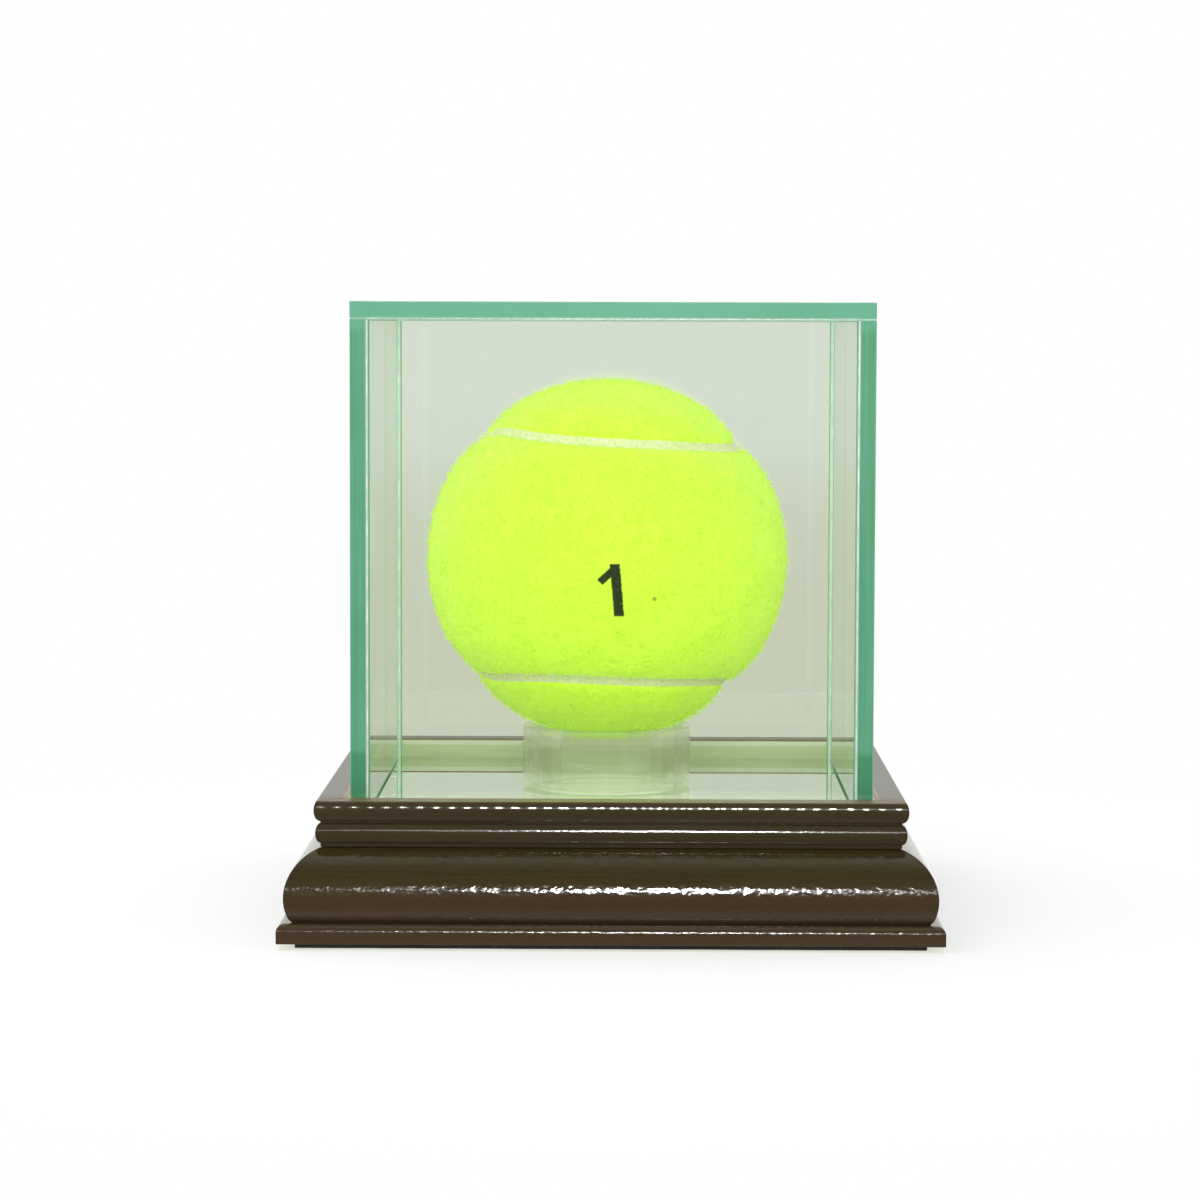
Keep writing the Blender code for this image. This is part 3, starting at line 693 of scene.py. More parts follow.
def bead_tree():
    """A bead of adhesive along a line."""
    tree, given = new_geometry_tree("adhesive bead", [
        ("Start", "Vector", None), ("End", "Vector", None), ("Radius", "Float", BEAD_RADIUS),
        ("Step", "Float", BEAD_STEP), ("Seed", "Float", 0.0), ("Material", "Material", None)])
    line = tree.add("GeometryNodeCurvePrimitiveLine", {},
                    {"Start": given.out("Start"), "End": given.out("End")})
    points = tree.add("GeometryNodeResampleCurve", {"mode": "LENGTH"},
                      {"Curve": line, "Length": given.out("Step")})
    wobble = tree.add("ShaderNodeTexNoise", {"noise_dimensions": "4D"},
                      {"Scale": BEAD_LUMPS, "Detail": 2.0, "W": given.out("Seed")})
    radius = given.out("Radius") * (wobble * BEAD_SWELL)
    circle = tree.add("GeometryNodeCurvePrimitiveCircle", {}, {"Resolution": BEAD_SIDES, "Radius": 1.0})
    body = tree.add("GeometryNodeCurveToMesh", {},
                    {"Curve": points, "Profile Curve": circle, "Scale": radius, "Fill Caps": True})
    return close_geometry_tree(tree, given, body)


bead = bead_tree()
top_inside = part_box("cover_top_pane")[0].z
for number, (label, x_side, y_side) in enumerate((("front_left", -1, -1), ("front_right", 1, -1),
                                                  ("back_left", -1, 1), ("back_right", 1, 1))):
    corner = Vector((x_side * inside.x, y_side * inside.y, 0.0))
    foot = (corner.x, corner.y, ledge)
    head = (corner.x, corner.y, top_inside)
    next_corner = Matrix.Rotation(math.pi / 2, 3, "Z") @ corner
    next_head = (next_corner.x, next_corner.y, top_inside)
    for kind, start, end in (("upright", foot, head), ("top", head, next_head)):
        strand = add_piece("bead_" + kind + "_" + label, bpy.data.meshes.new("bead"), [])
        run_geometry_tree(strand, bead, start=start, end=end, radius=BEAD_RADIUS, step=BEAD_STEP,
                          seed=float(number), material=ADHESIVE)
        strand.data.shade_smooth()
        hang(strand, "cover", "adhesive")
print("a bead of adhesive has", len(strand.data.polygons), "faces")

# %% [markdown]
# ## Mirror
# The floor of the case is a mirror: green-tinted glass silvered behind. The tint goes on the metal, a
# clear coat over it gives the second, fainter reflection off the glass, and smears left by fingers and
# dust soften the reflection here and there.

# %% Mirror finish and slab
MIRROR_TINT = (0.54, 0.65, 0.54, 1.0)
MIRROR_SMEAR = seen(214, 222, 206)
MIRROR_DUST = seen(232, 234, 226)
MIRROR_ARRIS = 0.12 * MM
MIRROR_FIT = Vector((0.2, 0.2, 0.0)) * MM       # it reaches a little nearer to the panes than packed


def mirror_finish():
    """Silvered glass with a few smears and specks."""
    finish = Finish("silvered_glass")
    smear = finish.noise(grain=7.0, stretch=(2.2, 1.0, 1.0), detail=4.0).rise(0.5, 0.8)
    dust = finish.spots(density=0.33).rise(0.055, 0.03)
    color = finish.mix(smear * 0.12, MIRROR_TINT, MIRROR_SMEAR)
    color = finish.mix(dust * 0.7, color, MIRROR_DUST)
    return finish.plain(Base_Color=color, Metallic=1.0 - dust * 0.8,
                        Roughness=smear * 0.09 + dust * 0.5 + 0.025,
                        Coat_Weight=0.5, Coat_Roughness=0.02, Coat_IOR=GLASS_INDEX)


low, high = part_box("mirror")
mirror = add_piece("mirror_plate",
                   slab_mesh("mirror_plate", low - MIRROR_FIT, high + MIRROR_FIT, MIRROR_ARRIS),
                   [mirror_finish(), glass_edge_finish("mirror_edge", MIRROR_EDGE), ARRIS])
hang(mirror, "base", "mirror", "mirror")
print("the mirror's face is", round((ledge - high.z) / MM, 2), "mm below the ledge")

# %% [markdown]
# ## Wooden moulding
# The base is a picture-frame moulding, cut to four lengths, mitred and lacquered. What makes it look
# real is the lacquer. It rolls gently, like orange peel, so the bright line along the big round breaks
# into loops, and the cutter has left a regular chatter along the top bead, so its line breaks into
# dashes. Grain hardly shows through the stain. The pattern has to follow each length round four
# corners, so the mesh carries its own map: along the length, and round the section.

# %% The moulding's sizes
WOOD = {
    "bead_root": 7.1 * MM, "nose_projection": 1.1 * MM, "nose_half_height": 1.95 * MM,
    "nose_drop": 1.6 * MM, "bead_projection": 0.85 * MM, "bead_half_height": 1.7 * MM,
    "bead_drop": 5.6 * MM, "ovolo_radius": 8.5 * MM, "ovolo_setback": 1.15 * MM,
    "ovolo_drop": 16.2 * MM, "ovolo_start_drop": 7.95 * MM, "ovolo_end_drop": 19.8 * MM,
    "foot_radius": 1.35 * MM, "foot_drop": 20.45 * MM, "foot_quirk": 0.6 * MM, "easing": 0.3 * MM,
}
MITRE_GAP = 0.2 * MM
SHELF_WIDTH = 6.0 * MM             # the deck board rests on a shelf as wide as this
BOARD_CLEARANCE = 0.3 * MM         # round each board, and between it and the wood
BEAD_STEPS = 18
OVOLO_STEPS = 48
wood_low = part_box("moulding_front")[0]
deck_low, deck_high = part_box("deck_board")
panel_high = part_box("bottom_panel")[1]
BASE_HALF = -wood_low.y
WOOD_BOTTOM = wood_low.z
REBATE_HALF = deck_high.x + BOARD_CLEARANCE
FRAME_OPENING_HALF = REBATE_HALF - SHELF_WIDTH
SHELF_HEIGHT = deck_low.z - BOARD_CLEARANCE
PANEL_CEILING = panel_high.z + BOARD_CLEARANCE
LOWER_REBATE_HALF = panel_high.x + BOARD_CLEARANCE
print("the base is", round(2 * BASE_HALF / MM, 1), "mm wide")

# %% The moulding's section
def arc(middle, radii, start, end, steps):
    """Points along an ellipse's arc; angles run anticlockwise from the outward side."""
    angles = [start + (end - start) * step / steps for step in range(steps + 1)]
    return [(middle[0] + radii[0] * math.cos(a), middle[1] + radii[1] * math.sin(a)) for a in angles]


def lengths_along(points):
    """How far along a line each of its points lies."""
    lengths = [0.0]
    for first, second in zip(points, points[1:]):
        lengths.append(lengths[-1] + math.dist(first, second))
    return lengths


def lacquered_runs():
    """The lacquered part of the section, from the rim to the foot, as points: (outwards, up)."""
    size = WOOD
    quirk = BASE_HALF - size["bead_root"]
    nose = arc((quirk, ledge - size["nose_drop"]), (size["nose_projection"], size["nose_half_height"]),
               math.asin(size["nose_drop"] / size["nose_half_height"]), -math.pi / 2, BEAD_STEPS)
    bead = arc((quirk, ledge - size["bead_drop"]), (size["bead_projection"], size["bead_half_height"]),
               math.pi / 2, -math.pi / 2, BEAD_STEPS)
    radius = size["ovolo_radius"]
    above = size["ovolo_drop"] - size["ovolo_start_drop"]
    below = size["ovolo_end_drop"] - size["ovolo_drop"]
    ovolo = arc((BASE_HALF - size["ovolo_setback"] - radius, ledge - size["ovolo_drop"]),
                (radius, radius), math.asin(above / radius), -math.asin(below / radius), OVOLO_STEPS)
    foot_top = ledge - size["foot_drop"]
    radius = size["foot_radius"]
    foot = arc((BASE_HALF - radius, foot_top - radius), (radius, radius), math.pi / 2, 0.0, BEAD_STEPS)
    return {
        "rim": [(REBATE_HALF, ledge - size["easing"]), (REBATE_HALF + size["easing"], ledge)],
        "nose": nose, "bead": bead, "neck": [(quirk, ledge - size["ovolo_start_drop"])],
        "ovolo": ovolo, "quirk": [(ovolo[-1][0] - size["foot_quirk"], foot_top)],
        "foot": foot, "bottom": [(BASE_HALF, WOOD_BOTTOM)],
    }


def run_ends(runs):
    """Where each run of the section starts and ends, in millimetres from the rim."""
    lengths = lengths_along([point for run in runs.values() for point in run])
    ends = {}
    first = 0
    for name, run in runs.items():
        ends[name] = (lengths[first] / MM, lengths[first + len(run) - 1] / MM)
        first += len(run)
    return ends


RUNS = lacquered_runs()
ENDS = run_ends(RUNS)
NOSE_START, NOSE_END = ENDS["nose"]
OVOLO_START = ENDS["neck"][0]
FOOT_START = ENDS["foot"][0]
LACQUERED = [point for run in RUNS.values() for point in run]
BARE = [(LOWER_REBATE_HALF, WOOD_BOTTOM), (LOWER_REBATE_HALF, PANEL_CEILING),
        (FRAME_OPENING_HALF, PANEL_CEILING), (FRAME_OPENING_HALF, SHELF_HEIGHT),
        (REBATE_HALF, SHELF_HEIGHT)]
print("round the section, in mm: nose", round(NOSE_START, 1), "ovolo", round(OVOLO_START, 1),
      "foot", round(FOOT_START, 1))

# %% One mitred length
CUT_TONE = 2.0                     # the mitre's cut takes the big round's lacquer, this far round it
MAP_SPACING = 4 * BASE_HALF        # so far apart on the map, no two lengths look alike


def moulding_mesh(name, turn, number):
    """One mitred length, with a map in millimetres: along the length, and round the section."""
    section = LACQUERED + BARE
    shape = bmesh.new()
    layer = shape.loops.layers.uv.new("grain")
    ends = []
    for side in (-1.0, 1.0):
        ring = []
        for outwards, up in section:
            along = side * (outwards - MITRE_GAP / math.sqrt(2))
            ring.append(shape.verts.new(turn @ Vector((along, -outwards, up))))
        ends.append(ring)
    travelled = lengths_along(section + section[:1])
    for index in range(len(section)):
        after = (index + 1) % len(section)
        face = shape.faces.new((ends[0][index], ends[1][index], ends[1][after], ends[0][after]))
        face.material_index = 0 if index < len(LACQUERED) - 1 else 1
        corners = ((-1, index, index), (1, index, index), (1, after, index + 1), (-1, after, index + 1))
        for loop, (side, point, step) in zip(face.loops, corners):
            along = side * section[point][0] + number * MAP_SPACING
            loop[layer].uv = (along / MM, travelled[step] / MM)
    for ring in ends:
        cap = shape.faces.new(ring)
        for loop in cap.loops:
            loop[layer].uv = (loop.vert.co.x / MM, loop.vert.co.z / MM + OVOLO_START + CUT_TONE)
    return shape_to_mesh(shape, name)


# %% Lacquer
ESPRESSO = seen(54, 45, 22)
ESPRESSO_RED = seen(66, 45, 27)
ESPRESSO_DARK = seen(42, 35, 16)
ESPRESSO_OLIVE = seen(60, 50, 36)  # greener, off the big round: on the rim, the ledge and the beads
ESPRESSO_WARM = seen(67, 51, 36)   # warmer, low on the big round and below
TAN_EDGE = seen(156, 132, 96)   # paler tan, on the rim along the rebate and on the front ledge
CHATTER_PITCH = 2.8                # millimetres between the cutter's marks
PEEL_GRAIN = 1.1
FRONT_LEDGE = (-42.0, -46.0)             # the front ledge begins between these depths
# Round the section, in millimetres: where each part's tone begins, and where it is full.
ON_RIM = (1.2, 0.5)                # the rim is paler
ON_LEDGE = (NOSE_START + 0.4, NOSE_START - 0.2)
ON_NOSE = (NOSE_END, NOSE_END - 1.0)
ON_OVOLO = (OVOLO_START, OVOLO_START + 1.0)
LOW_DOWN = (OVOLO_START + 7.0, OVOLO_START + 12.0)
ON_FOOT = (FOOT_START, FOOT_START + 0.5)


def lacquer_finish():
    """Espresso stain under a rolling coat of lacquer, duller and tan on the front ledge."""
    finish = Finish("espresso_lacquer")
    mapped = finish.add("ShaderNodeUVMap", {"uv_map": "grain"})
    along = finish.part(mapped, "X")
    round_section = finish.part(mapped, "Y")
    on_ledge = round_section.rise(*ON_LEDGE)
    on_nose = round_section.rise(*ON_NOSE)
    on_ovolo = round_section.rise(*ON_OVOLO)
    on_foot = round_section.rise(*ON_FOOT)
    low_down = round_section.rise(*LOW_DOWN)
    on_front_ledge = finish.depth().rise(*FRONT_LEDGE)
    grain = finish.noise(grain=0.5, vector=mapped, stretch=(40.0, 1.0, 1.0), detail=4.0)
    patches = finish.noise(grain=11.0, vector=mapped, stretch=(3.0, 1.0, 1.0), detail=3.0)
    color = finish.mix(grain.rise(0.35, 0.7) * 0.55, ESPRESSO, ESPRESSO_DARK)
    color = finish.mix(patches.rise(0.45, 0.75) * 0.4, color, ESPRESSO_RED)
    color = finish.mix((1 - on_ovolo) * 0.6, color, ESPRESSO_OLIVE)
    color = finish.mix(low_down * 0.65, color, ESPRESSO_WARM)
    color = finish.mix(on_ledge * 0.6, color, ESPRESSO_DARK)
    color = finish.mix(on_ledge * on_front_ledge * 0.38, color, TAN_EDGE)
    color = finish.mix(round_section.rise(*ON_RIM) * 0.8, color, TAN_EDGE)
    peel = finish.noise(grain=PEEL_GRAIN, vector=mapped, stretch=(1.2, 1.0, 1.0), detail=1.0)
    roll = finish.noise(grain=PEEL_GRAIN * 10, vector=mapped, detail=1.0)
    chatter = (along * (2 * math.pi / CHATTER_PITCH) + roll * 4.0).sine() * (on_nose - on_ledge)
    height = peel * (on_ovolo * 0.055 + 0.018) + roll * 0.05 + chatter * 0.022
    dust = finish.noise(grain=0.35, vector=mapped, detail=2.0).rise(0.72, 0.8)
    roughness = (patches * 0.04 + dust * 0.1 + on_ledge * (on_front_ledge * 0.12 + 0.18)
                 + on_foot * 0.06 + 0.085)
    return finish.plain(Base_Color=color, Roughness=roughness, IOR=1.5, Normal=finish.bump(height))


# %% Bare wood, and the four lengths
POPLAR = seen(238, 240, 204)
POPLAR_GRAIN = seen(206, 212, 160)
POPLAR_LIT_RIM = seen(250, 248, 232)
POPLAR_PAINTED_GLOW = 0.21                 # painted light: a glow for the light that the mirror and the glass throw back on it
RIM_DEPTH = (1.3, 1.1)             # millimetres below the ledge, where the painted light on the rim begins


def bare_wood_finish():
    """The faces that nobody finishes: pale, planed poplar, a little green, with painted light."""
    finish = Finish("bare_poplar")
    mapped = finish.add("ShaderNodeUVMap", {"uv_map": "grain"})
    grain = finish.noise(grain=0.6, vector=mapped, stretch=(30.0, 1.0, 1.0), detail=4.0)
    color = finish.mix(grain, POPLAR, POPLAR_GRAIN)
    # painted light: the top of the rebate's face is paler, where light falls in through the gap
    rim = finish.height().rise(*(ledge / MM - below for below in RIM_DEPTH))
    color = finish.mix(rim * 0.8, color, POPLAR_LIT_RIM)
    return finish.plain(Base_Color=color, Roughness=0.7, Normal=finish.bump(grain * 0.04),
                        Emission_Color=color, Emission_Strength=POPLAR_PAINTED_GLOW)


LACQUER = lacquer_finish()
BARE_WOOD = bare_wood_finish()
for number, side in enumerate(("front", "right", "back", "left")):
    turn = Matrix.Rotation(number * math.pi / 2, 3, "Z")
    node = "moulding_" + side
    length = add_piece("wood_" + side, moulding_mesh(node, turn, number), [LACQUER, BARE_WOOD])
    hang(length, "base", "lacquered_wood", node)
print("a moulding has", len(length.data.polygons), "faces")

# %% [markdown]
# ## Boards, tapes and fasteners
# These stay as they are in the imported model, and only get a finish. Hardboard is pressed from short
# brown fibres, foam tape is full of small cells, and the steel pins and nails are brushed by their
# making.

# %% Finishes of the hidden parts
def hardboard_finish():
    """Pressed brown fibres, smooth and a little shiny on the face."""
    finish = Finish("hardboard")
    fibres, crossed = finish.fibres(grain=0.35, stretch=5.0)
    color = finish.mix(fibres.most(crossed).rise(0.4, 0.75), seen(92, 62, 38), seen(142, 104, 68))
    return finish.plain(Base_Color=color, Roughness=fibres * 0.3 + 0.45,
                        Normal=finish.bump((fibres + crossed) * 0.03))


def foam_finish():
    """White foam with open cells."""
    finish = Finish("foam_tape")
    cells = finish.spots(density=4.0)
    color = finish.mix(cells, seen(206, 204, 196), seen(236, 234, 228))
    return finish.plain(Base_Color=color, Roughness=0.9, Normal=finish.bump(cells * 0.05))


def steel_finish():
    """Bright drawn steel."""
    finish = Finish("bright_steel")
    lines = finish.noise(grain=0.1, stretch=(1.0, 1.0, 30.0), detail=2.0)
    color = finish.mix(lines, seen(176, 176, 178), seen(214, 214, 216))
    return finish.plain(Base_Color=color, Metallic=1.0, Roughness=lines * 0.25 + 0.2,
                        Normal=finish.bump(lines * 0.004))


def rubber_finish():
    """The dark moulded rubber of the ball's core."""
    finish = Finish("core_rubber")
    bloom = finish.noise(grain=3.0, detail=4.0)
    color = finish.mix(bloom.rise(0.4, 0.8), seen(52, 48, 46), seen(92, 86, 80))
    return finish.plain(Base_Color=color, Roughness=bloom * 0.2 + 0.6,
                        Normal=finish.bump(finish.noise(grain=0.4) * 0.03))


STEEL_NODES = [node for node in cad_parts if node.startswith(("v_nail_", "panel_pin_"))]
for nodes, material in ((("deck_board", "bottom_panel"), hardboard_finish()),
                        (("mirror_tape_left", "mirror_tape_right"), foam_finish()),
                        (("ball_core_upper", "ball_core_lower"), rubber_finish()),
                        (STEEL_NODES, steel_finish())):
    for node in nodes:
        set_finish(node, material)
print("steel pins and nails:", len(STEEL_NODES))

# %% [markdown]
# ## The felt under the base
# The case stands on a sheet of black felt, glued to the underside and trimmed by hand, so its edges
# wander a little. It is a sheet of cloth, made with the size that it was cut to.

# %% Base felt
FELT_CELLS = 48
FELT_WANDER = 0.12 * MM
SIDE_WAVES = (23.0, 5.0, 7.0)      # along the left and right edges: the wave's pace, and how it varies
END_WAVES = (19.0, 4.0, 9.0)       # the same along the front and back edges


def black_felt_finish():
    """Matted black wool with a few grey fibres."""
    finish = Finish("black_felt")
    mat, crossed = finish.fibres(grain=0.25, stretch=3.0)
    color = finish.mix(mat.most(crossed).rise(0.5, 0.8), seen(22, 22, 24), seen(58, 57, 60))
    return finish.plain(Base_Color=color, Roughness=0.95, Sheen_Weight=0.3, Sheen_Roughness=0.5,
                        Normal=finish.bump((mat + crossed) * 0.09))


def wander(place, waves):
    """How far inwards a cut edge lies here."""
    pace, swing, swing_pace = waves
    return FELT_WANDER * (0.5 + 0.5 * math.sin(place * pace + swing * math.sin(place * swing_pace)))


def base_felt_mesh(low, high):
    """A thin sheet whose cut edges wander a little inwards."""
    middle = (low + high) / 2
    shape = bmesh.new()
    bmesh.ops.create_grid(shape, x_segments=FELT_CELLS, y_segments=FELT_CELLS, size=1.0)
    for vertex in shape.verts:
        across, along = vertex.co.x, vertex.co.y
        vertex.co.x = middle.x + across * ((high.x - low.x) / 2 - wander(along, SIDE_WAVES))
        vertex.co.y = middle.y + along * ((high.y - low.y) / 2 - wander(across, END_WAVES))
        vertex.co.z = low.z
    raised = bmesh.ops.extrude_face_region(shape, geom=shape.faces[:], use_keep_orig=True)["geom"]
    upper = [item for item in raised if isinstance(item, bmesh.types.BMVert)]
    bmesh.ops.translate(shape, vec=(0.0, 0.0, high.z - low.z), verts=upper)
    return shape_to_mesh(shape, "base_felt_sheet")


low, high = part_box("base_felt")
base_felt = add_piece("base_felt_sheet", base_felt_mesh(low, high), [black_felt_finish()])
hang(base_felt, "base", "base_felt", "base_felt")

# %% [markdown]
# ## The ring stand
# A slice of clear acrylic tube. It bends the light: its bore shows as two dark upright lines, and its
# foot picks up the green of the ball. Only a refracting shader does that, so the ring is true acrylic,
# and lets the lamps' light through to the mirror; a faint painted glow in the ball's colour adds to
# that green. Geometry nodes draw its section round a circle.

# %% Ring finish
ACRYLIC_TINT = (0.955, 0.985, 0.86, 1.0)
ACRYLIC_GLOW = (0.85, 0.95, 0.45, 1.0)      # painted light: a faint glow for the ball's light, caught in the ring
ACRYLIC_GLOW_STRENGTH = 0.05
ACRYLIC_CLEAR = (0.97, 0.99, 0.95, 1.0)
STRAIGHT_SHARE = 0.45              # light that passes without bending, which softens the dark lines


def acrylic_finish():
    """Clear cast acrylic with fine saw marks left on the faces."""
    finish = Finish("clear_acrylic")
    marks = finish.noise(grain=0.25, stretch=(12.0, 1.0, 1.0), detail=2.0)
    ripple = finish.bump(finish.noise(grain=4.0) * 0.004)
    solid = finish.principled(Base_Color=ACRYLIC_TINT, Roughness=marks * 0.04 + 0.02, IOR=1.49,
                              Transmission_Weight=0.95, Normal=ripple,
                              Emission_Color=ACRYLIC_GLOW, Emission_Strength=ACRYLIC_GLOW_STRENGTH)
    clear = finish.clear(ACRYLIC_CLEAR)
    softened = finish.mix_shader(STRAIGHT_SHARE, solid, clear)
    lamp_ray = finish.add("ShaderNodeLightPath").out("Is Shadow Ray")
    return finish.done(finish.mix_shader(lamp_ray, softened, clear))


# %% Ring
RING_WALL = 3.0 * MM
RING_EASING = 0.35 * MM
RING_STEPS = 160
RING_EASING_STEPS = 4
RING_SMOOTH_ANGLE = math.radians(5)     # its upright walls stay straight, up to the easings
ring_low, ring_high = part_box("ring_stand")
RING_RADIUS = (ring_high.x - ring_low.x) / 2
RING_HEIGHT = ring_high.z - ring_low.z


def ring_tree():
    """A tube's section with eased corners, drawn round a circle."""
    tree, given = new_geometry_tree("ring", [
        ("Radius", "Float", RING_RADIUS), ("Wall", "Float", RING_WALL), ("Height", "Float", RING_HEIGHT),
        ("Easing", "Float", RING_EASING), ("Place", "Vector", None), ("Material", "Material", None)])
    path = tree.add("GeometryNodeCurvePrimitiveCircle", {},
                    {"Resolution": RING_STEPS, "Radius": given.out("Radius") - given.out("Wall") * 0.5})
    section = tree.add("GeometryNodeCurvePrimitiveQuadrilateral", {},
                       {"Width": given.out("Wall"), "Height": given.out("Height")})
    eased = tree.add("GeometryNodeFilletCurve", {"mode": "POLY"},
                     {"Curve": section, "Count": RING_EASING_STEPS, "Radius": given.out("Easing")})
    tube = tree.add("GeometryNodeCurveToMesh", {}, {"Curve": path, "Profile Curve": eased})
    placed = tree.add("GeometryNodeTransform", {},
                      {"Geometry": tube, "Translation": given.out("Place")})
    return close_geometry_tree(tree, given, placed)


ACRYLIC = acrylic_finish()
ring = add_piece("acrylic_ring", bpy.data.meshes.new("ring"), [])
run_geometry_tree(ring, ring_tree(), radius=RING_RADIUS, wall=RING_WALL, height=RING_HEIGHT,
                  easing=RING_EASING, place=tuple((ring_low + ring_high) / 2), material=ACRYLIC)
ring.data = shape_to_mesh(merged_copy(ring.data), "acrylic_ring", RING_SMOOTH_ANGLE)
ring.data.materials.append(ACRYLIC)
hang(ring, "stand", "acrylic", "ring_stand")
ring_box = [Vector(corner) for corner in ring.bound_box]
print("ring corners, mm:", [round(value / MM, 2) for value in (*ring_box[0], *ring_box[6])])

# %% [markdown]
# ## The ball
# Two dumb-bell pieces of felt are wrapped on a rubber core, and a rubber seam fills the groove between
# them. The seam is one closed wave on a sphere. Each felt is a grid laid inside that wave, rolled down
# at its edge, and covered with short fibres, which geometry nodes scatter, tilt and turn. The fibres
# give the soft outline that felt has.

# %% The seam's wave
BALL_RADIUS = 33.0 * MM
BALL_NOD = math.radians(-0.7)
BALL_ROLL = math.radians(3.1)
BALL_TURN = math.radians(24.5)
FIRST_SHARE = 0.755
THIRD_SHARE = 0.245
DEPTH_SHARE = 0.56
SEAM_HALF = 1.05 * MM              # half the width of the groove
SEAM_SAMPLES = 1600
SMALL_TURN = 0.001
core_low, core_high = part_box("ball_core_upper")
BALL_MIDDLE = Vector(((core_low.x + core_high.x) / 2, (core_low.y + core_high.y) / 2,
                      (core_high.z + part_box("ball_core_lower")[0].z) / 2))
FACE_VIEWER = Matrix.Rotation(math.pi / 2, 4, "X")
SWAP = Matrix.Rotation(math.pi, 4, Vector((1.0, 1.0, 0.0)))
TURNED = (Matrix.Rotation(BALL_TURN, 4, "Z") @ Matrix.Rotation(BALL_ROLL, 4, "Y")
          @ Matrix.Rotation(BALL_NOD, 4, "X"))
BALL_PLACE = Matrix.Translation(BALL_MIDDLE) @ TURNED @ FACE_VIEWER


def seam_point(turn):
    """A point of the seam on a unit ball."""
    return Vector((FIRST_SHARE * math.sin(turn) + THIRD_SHARE * math.sin(3 * turn),
                   FIRST_SHARE * math.cos(turn) - THIRD_SHARE * math.cos(3 * turn),
                   DEPTH_SHARE * math.cos(2 * turn))).normalized()


def seam_across(turn):
    """The direction across the seam, towards the front felt."""
    forward = seam_point(turn + SMALL_TURN) - seam_point(turn - SMALL_TURN)
    return forward.cross(seam_point(turn)).normalized()


seam_tree = kdtree.KDTree(SEAM_SAMPLES)
for step in range(SEAM_SAMPLES):
    seam_tree.insert(seam_point(2 * math.pi * step / SEAM_SAMPLES), step)
seam_tree.balance()
print("the ball's middle is", [round(value / MM, 2) for value in BALL_MIDDLE], "mm")

# %% The felts' meshes
FELT_COLUMNS = 150
FELT_ROWS = 44
FELT_THICKNESS = 2.6 * MM
FELT_MERGE = 0.02 * MM             # the grid's ends close to a point, and its corners there are one
NAP_ROOM = 0.12 * MM               # the skin lies this far inside the ball's size, and fibres fill it
PILLOW_WIDTH = 9.0 * MM            # the felt sinks towards the seam over this width
PILLOW_DEPTH = 1.05 * MM
EDGE_ROLL_WIDTH = 1.5 * MM         # and its edge turns down over this one
EDGE_ROLL_DEPTH = 0.45 * MM


def edge_drop(point):
    """How far the felt's face has sunk here, near the seam."""
    distance = seam_tree.find(point)[2] * BALL_RADIUS - SEAM_HALF
    pillow = min(max(1.0 - distance / PILLOW_WIDTH, 0.0), 1.0)
    roll = min(max(1.0 - distance / EDGE_ROLL_WIDTH, 0.0), 1.0)
    return PILLOW_DEPTH * pillow * pillow + EDGE_ROLL_DEPTH * (1.0 - math.sqrt(1.0 - roll * roll))


def felt_mesh(name, place):
    """A felt: a grid inside the seam's wave, turned down at its edge and thickened inwards."""
    edge_angle = SEAM_HALF / BALL_RADIUS
    shape = bmesh.new()
    bmesh.ops.create_grid(shape, x_segments=FELT_COLUMNS, y_segments=FELT_ROWS, size=1.0)
    nap_layer = shape.verts.layers.float.new("nap")
    for vertex in shape.verts:
        turn = vertex.co.x * math.pi / 2
        edge = seam_point(turn) * math.cos(edge_angle) + seam_across(turn) * math.sin(edge_angle)
        edge = edge.normalized()
        longitude = math.atan2(edge.x, edge.z)
        latitude = math.asin(max(edge.y, 0.0)) * math.sin(vertex.co.y * math.pi / 2)
        direction = Vector((math.sin(longitude) * math.cos(latitude), math.sin(latitude),
                            math.cos(longitude) * math.cos(latitude)))
        vertex.co = direction * (BALL_RADIUS - NAP_ROOM - edge_drop(direction))
        vertex[nap_layer] = 1.0
    bmesh.ops.remove_doubles(shape, verts=shape.verts, dist=FELT_MERGE)
    back = bmesh.ops.extrude_face_region(shape, geom=shape.faces[:], use_keep_orig=True)["geom"]
    for vertex in (item for item in back if isinstance(item, bmesh.types.BMVert)):
        vertex.co = vertex.co.normalized() * (BALL_RADIUS - FELT_THICKNESS)
        vertex[nap_layer] = 0.0
    bmesh.ops.transform(shape, matrix=place, verts=shape.verts)
    return shape_to_mesh(shape, name)


# %% [markdown]
# ## Nap
# The felt is wool and nylon, brushed until short fibres stand up all over it. A bump map would leave
# the ball's outline as smooth as plastic, so the fibres are real: one bent, tapered fibre of a few
# faces, set on thousands of points and tilted at random. Each has a shade of its own, which the
# finish reads. The felt's face is marked, so that no fibres grow on its hidden side.

# %% The fibres
FIBRE_LENGTH = 1.35 * MM
FIBRE_RADIUS = 0.05 * MM
FIBRES_PER_FELT = 8300
FIBRE_ROOT = (0.0, 0.0, -0.12)     # across, along and up, as shares of the fibre's length
FIBRE_BEND = (0.0, 0.0, 0.5)
FIBRE_TIP = (0.45, 0.1, 0.75)
FIBRE_THICK_ROOT = 1.25            # times its radius
FIBRE_TAPER = 0.9                  # which it has lost at the tip
FIBRE_TILTS = ((0.55, -0.3, 0.0), (1.45, 0.3, 2 * math.pi))    # the least and the most, in radians
FIBRE_SIZES = (0.55, 1.25)


def random_number(tree, low, high, seed):
    """A number for each fibre."""
    return tree.add("FunctionNodeRandomValue", {"data_type": "FLOAT"},
                    {2: low, 3: high, "Seed": seed}, output=1)


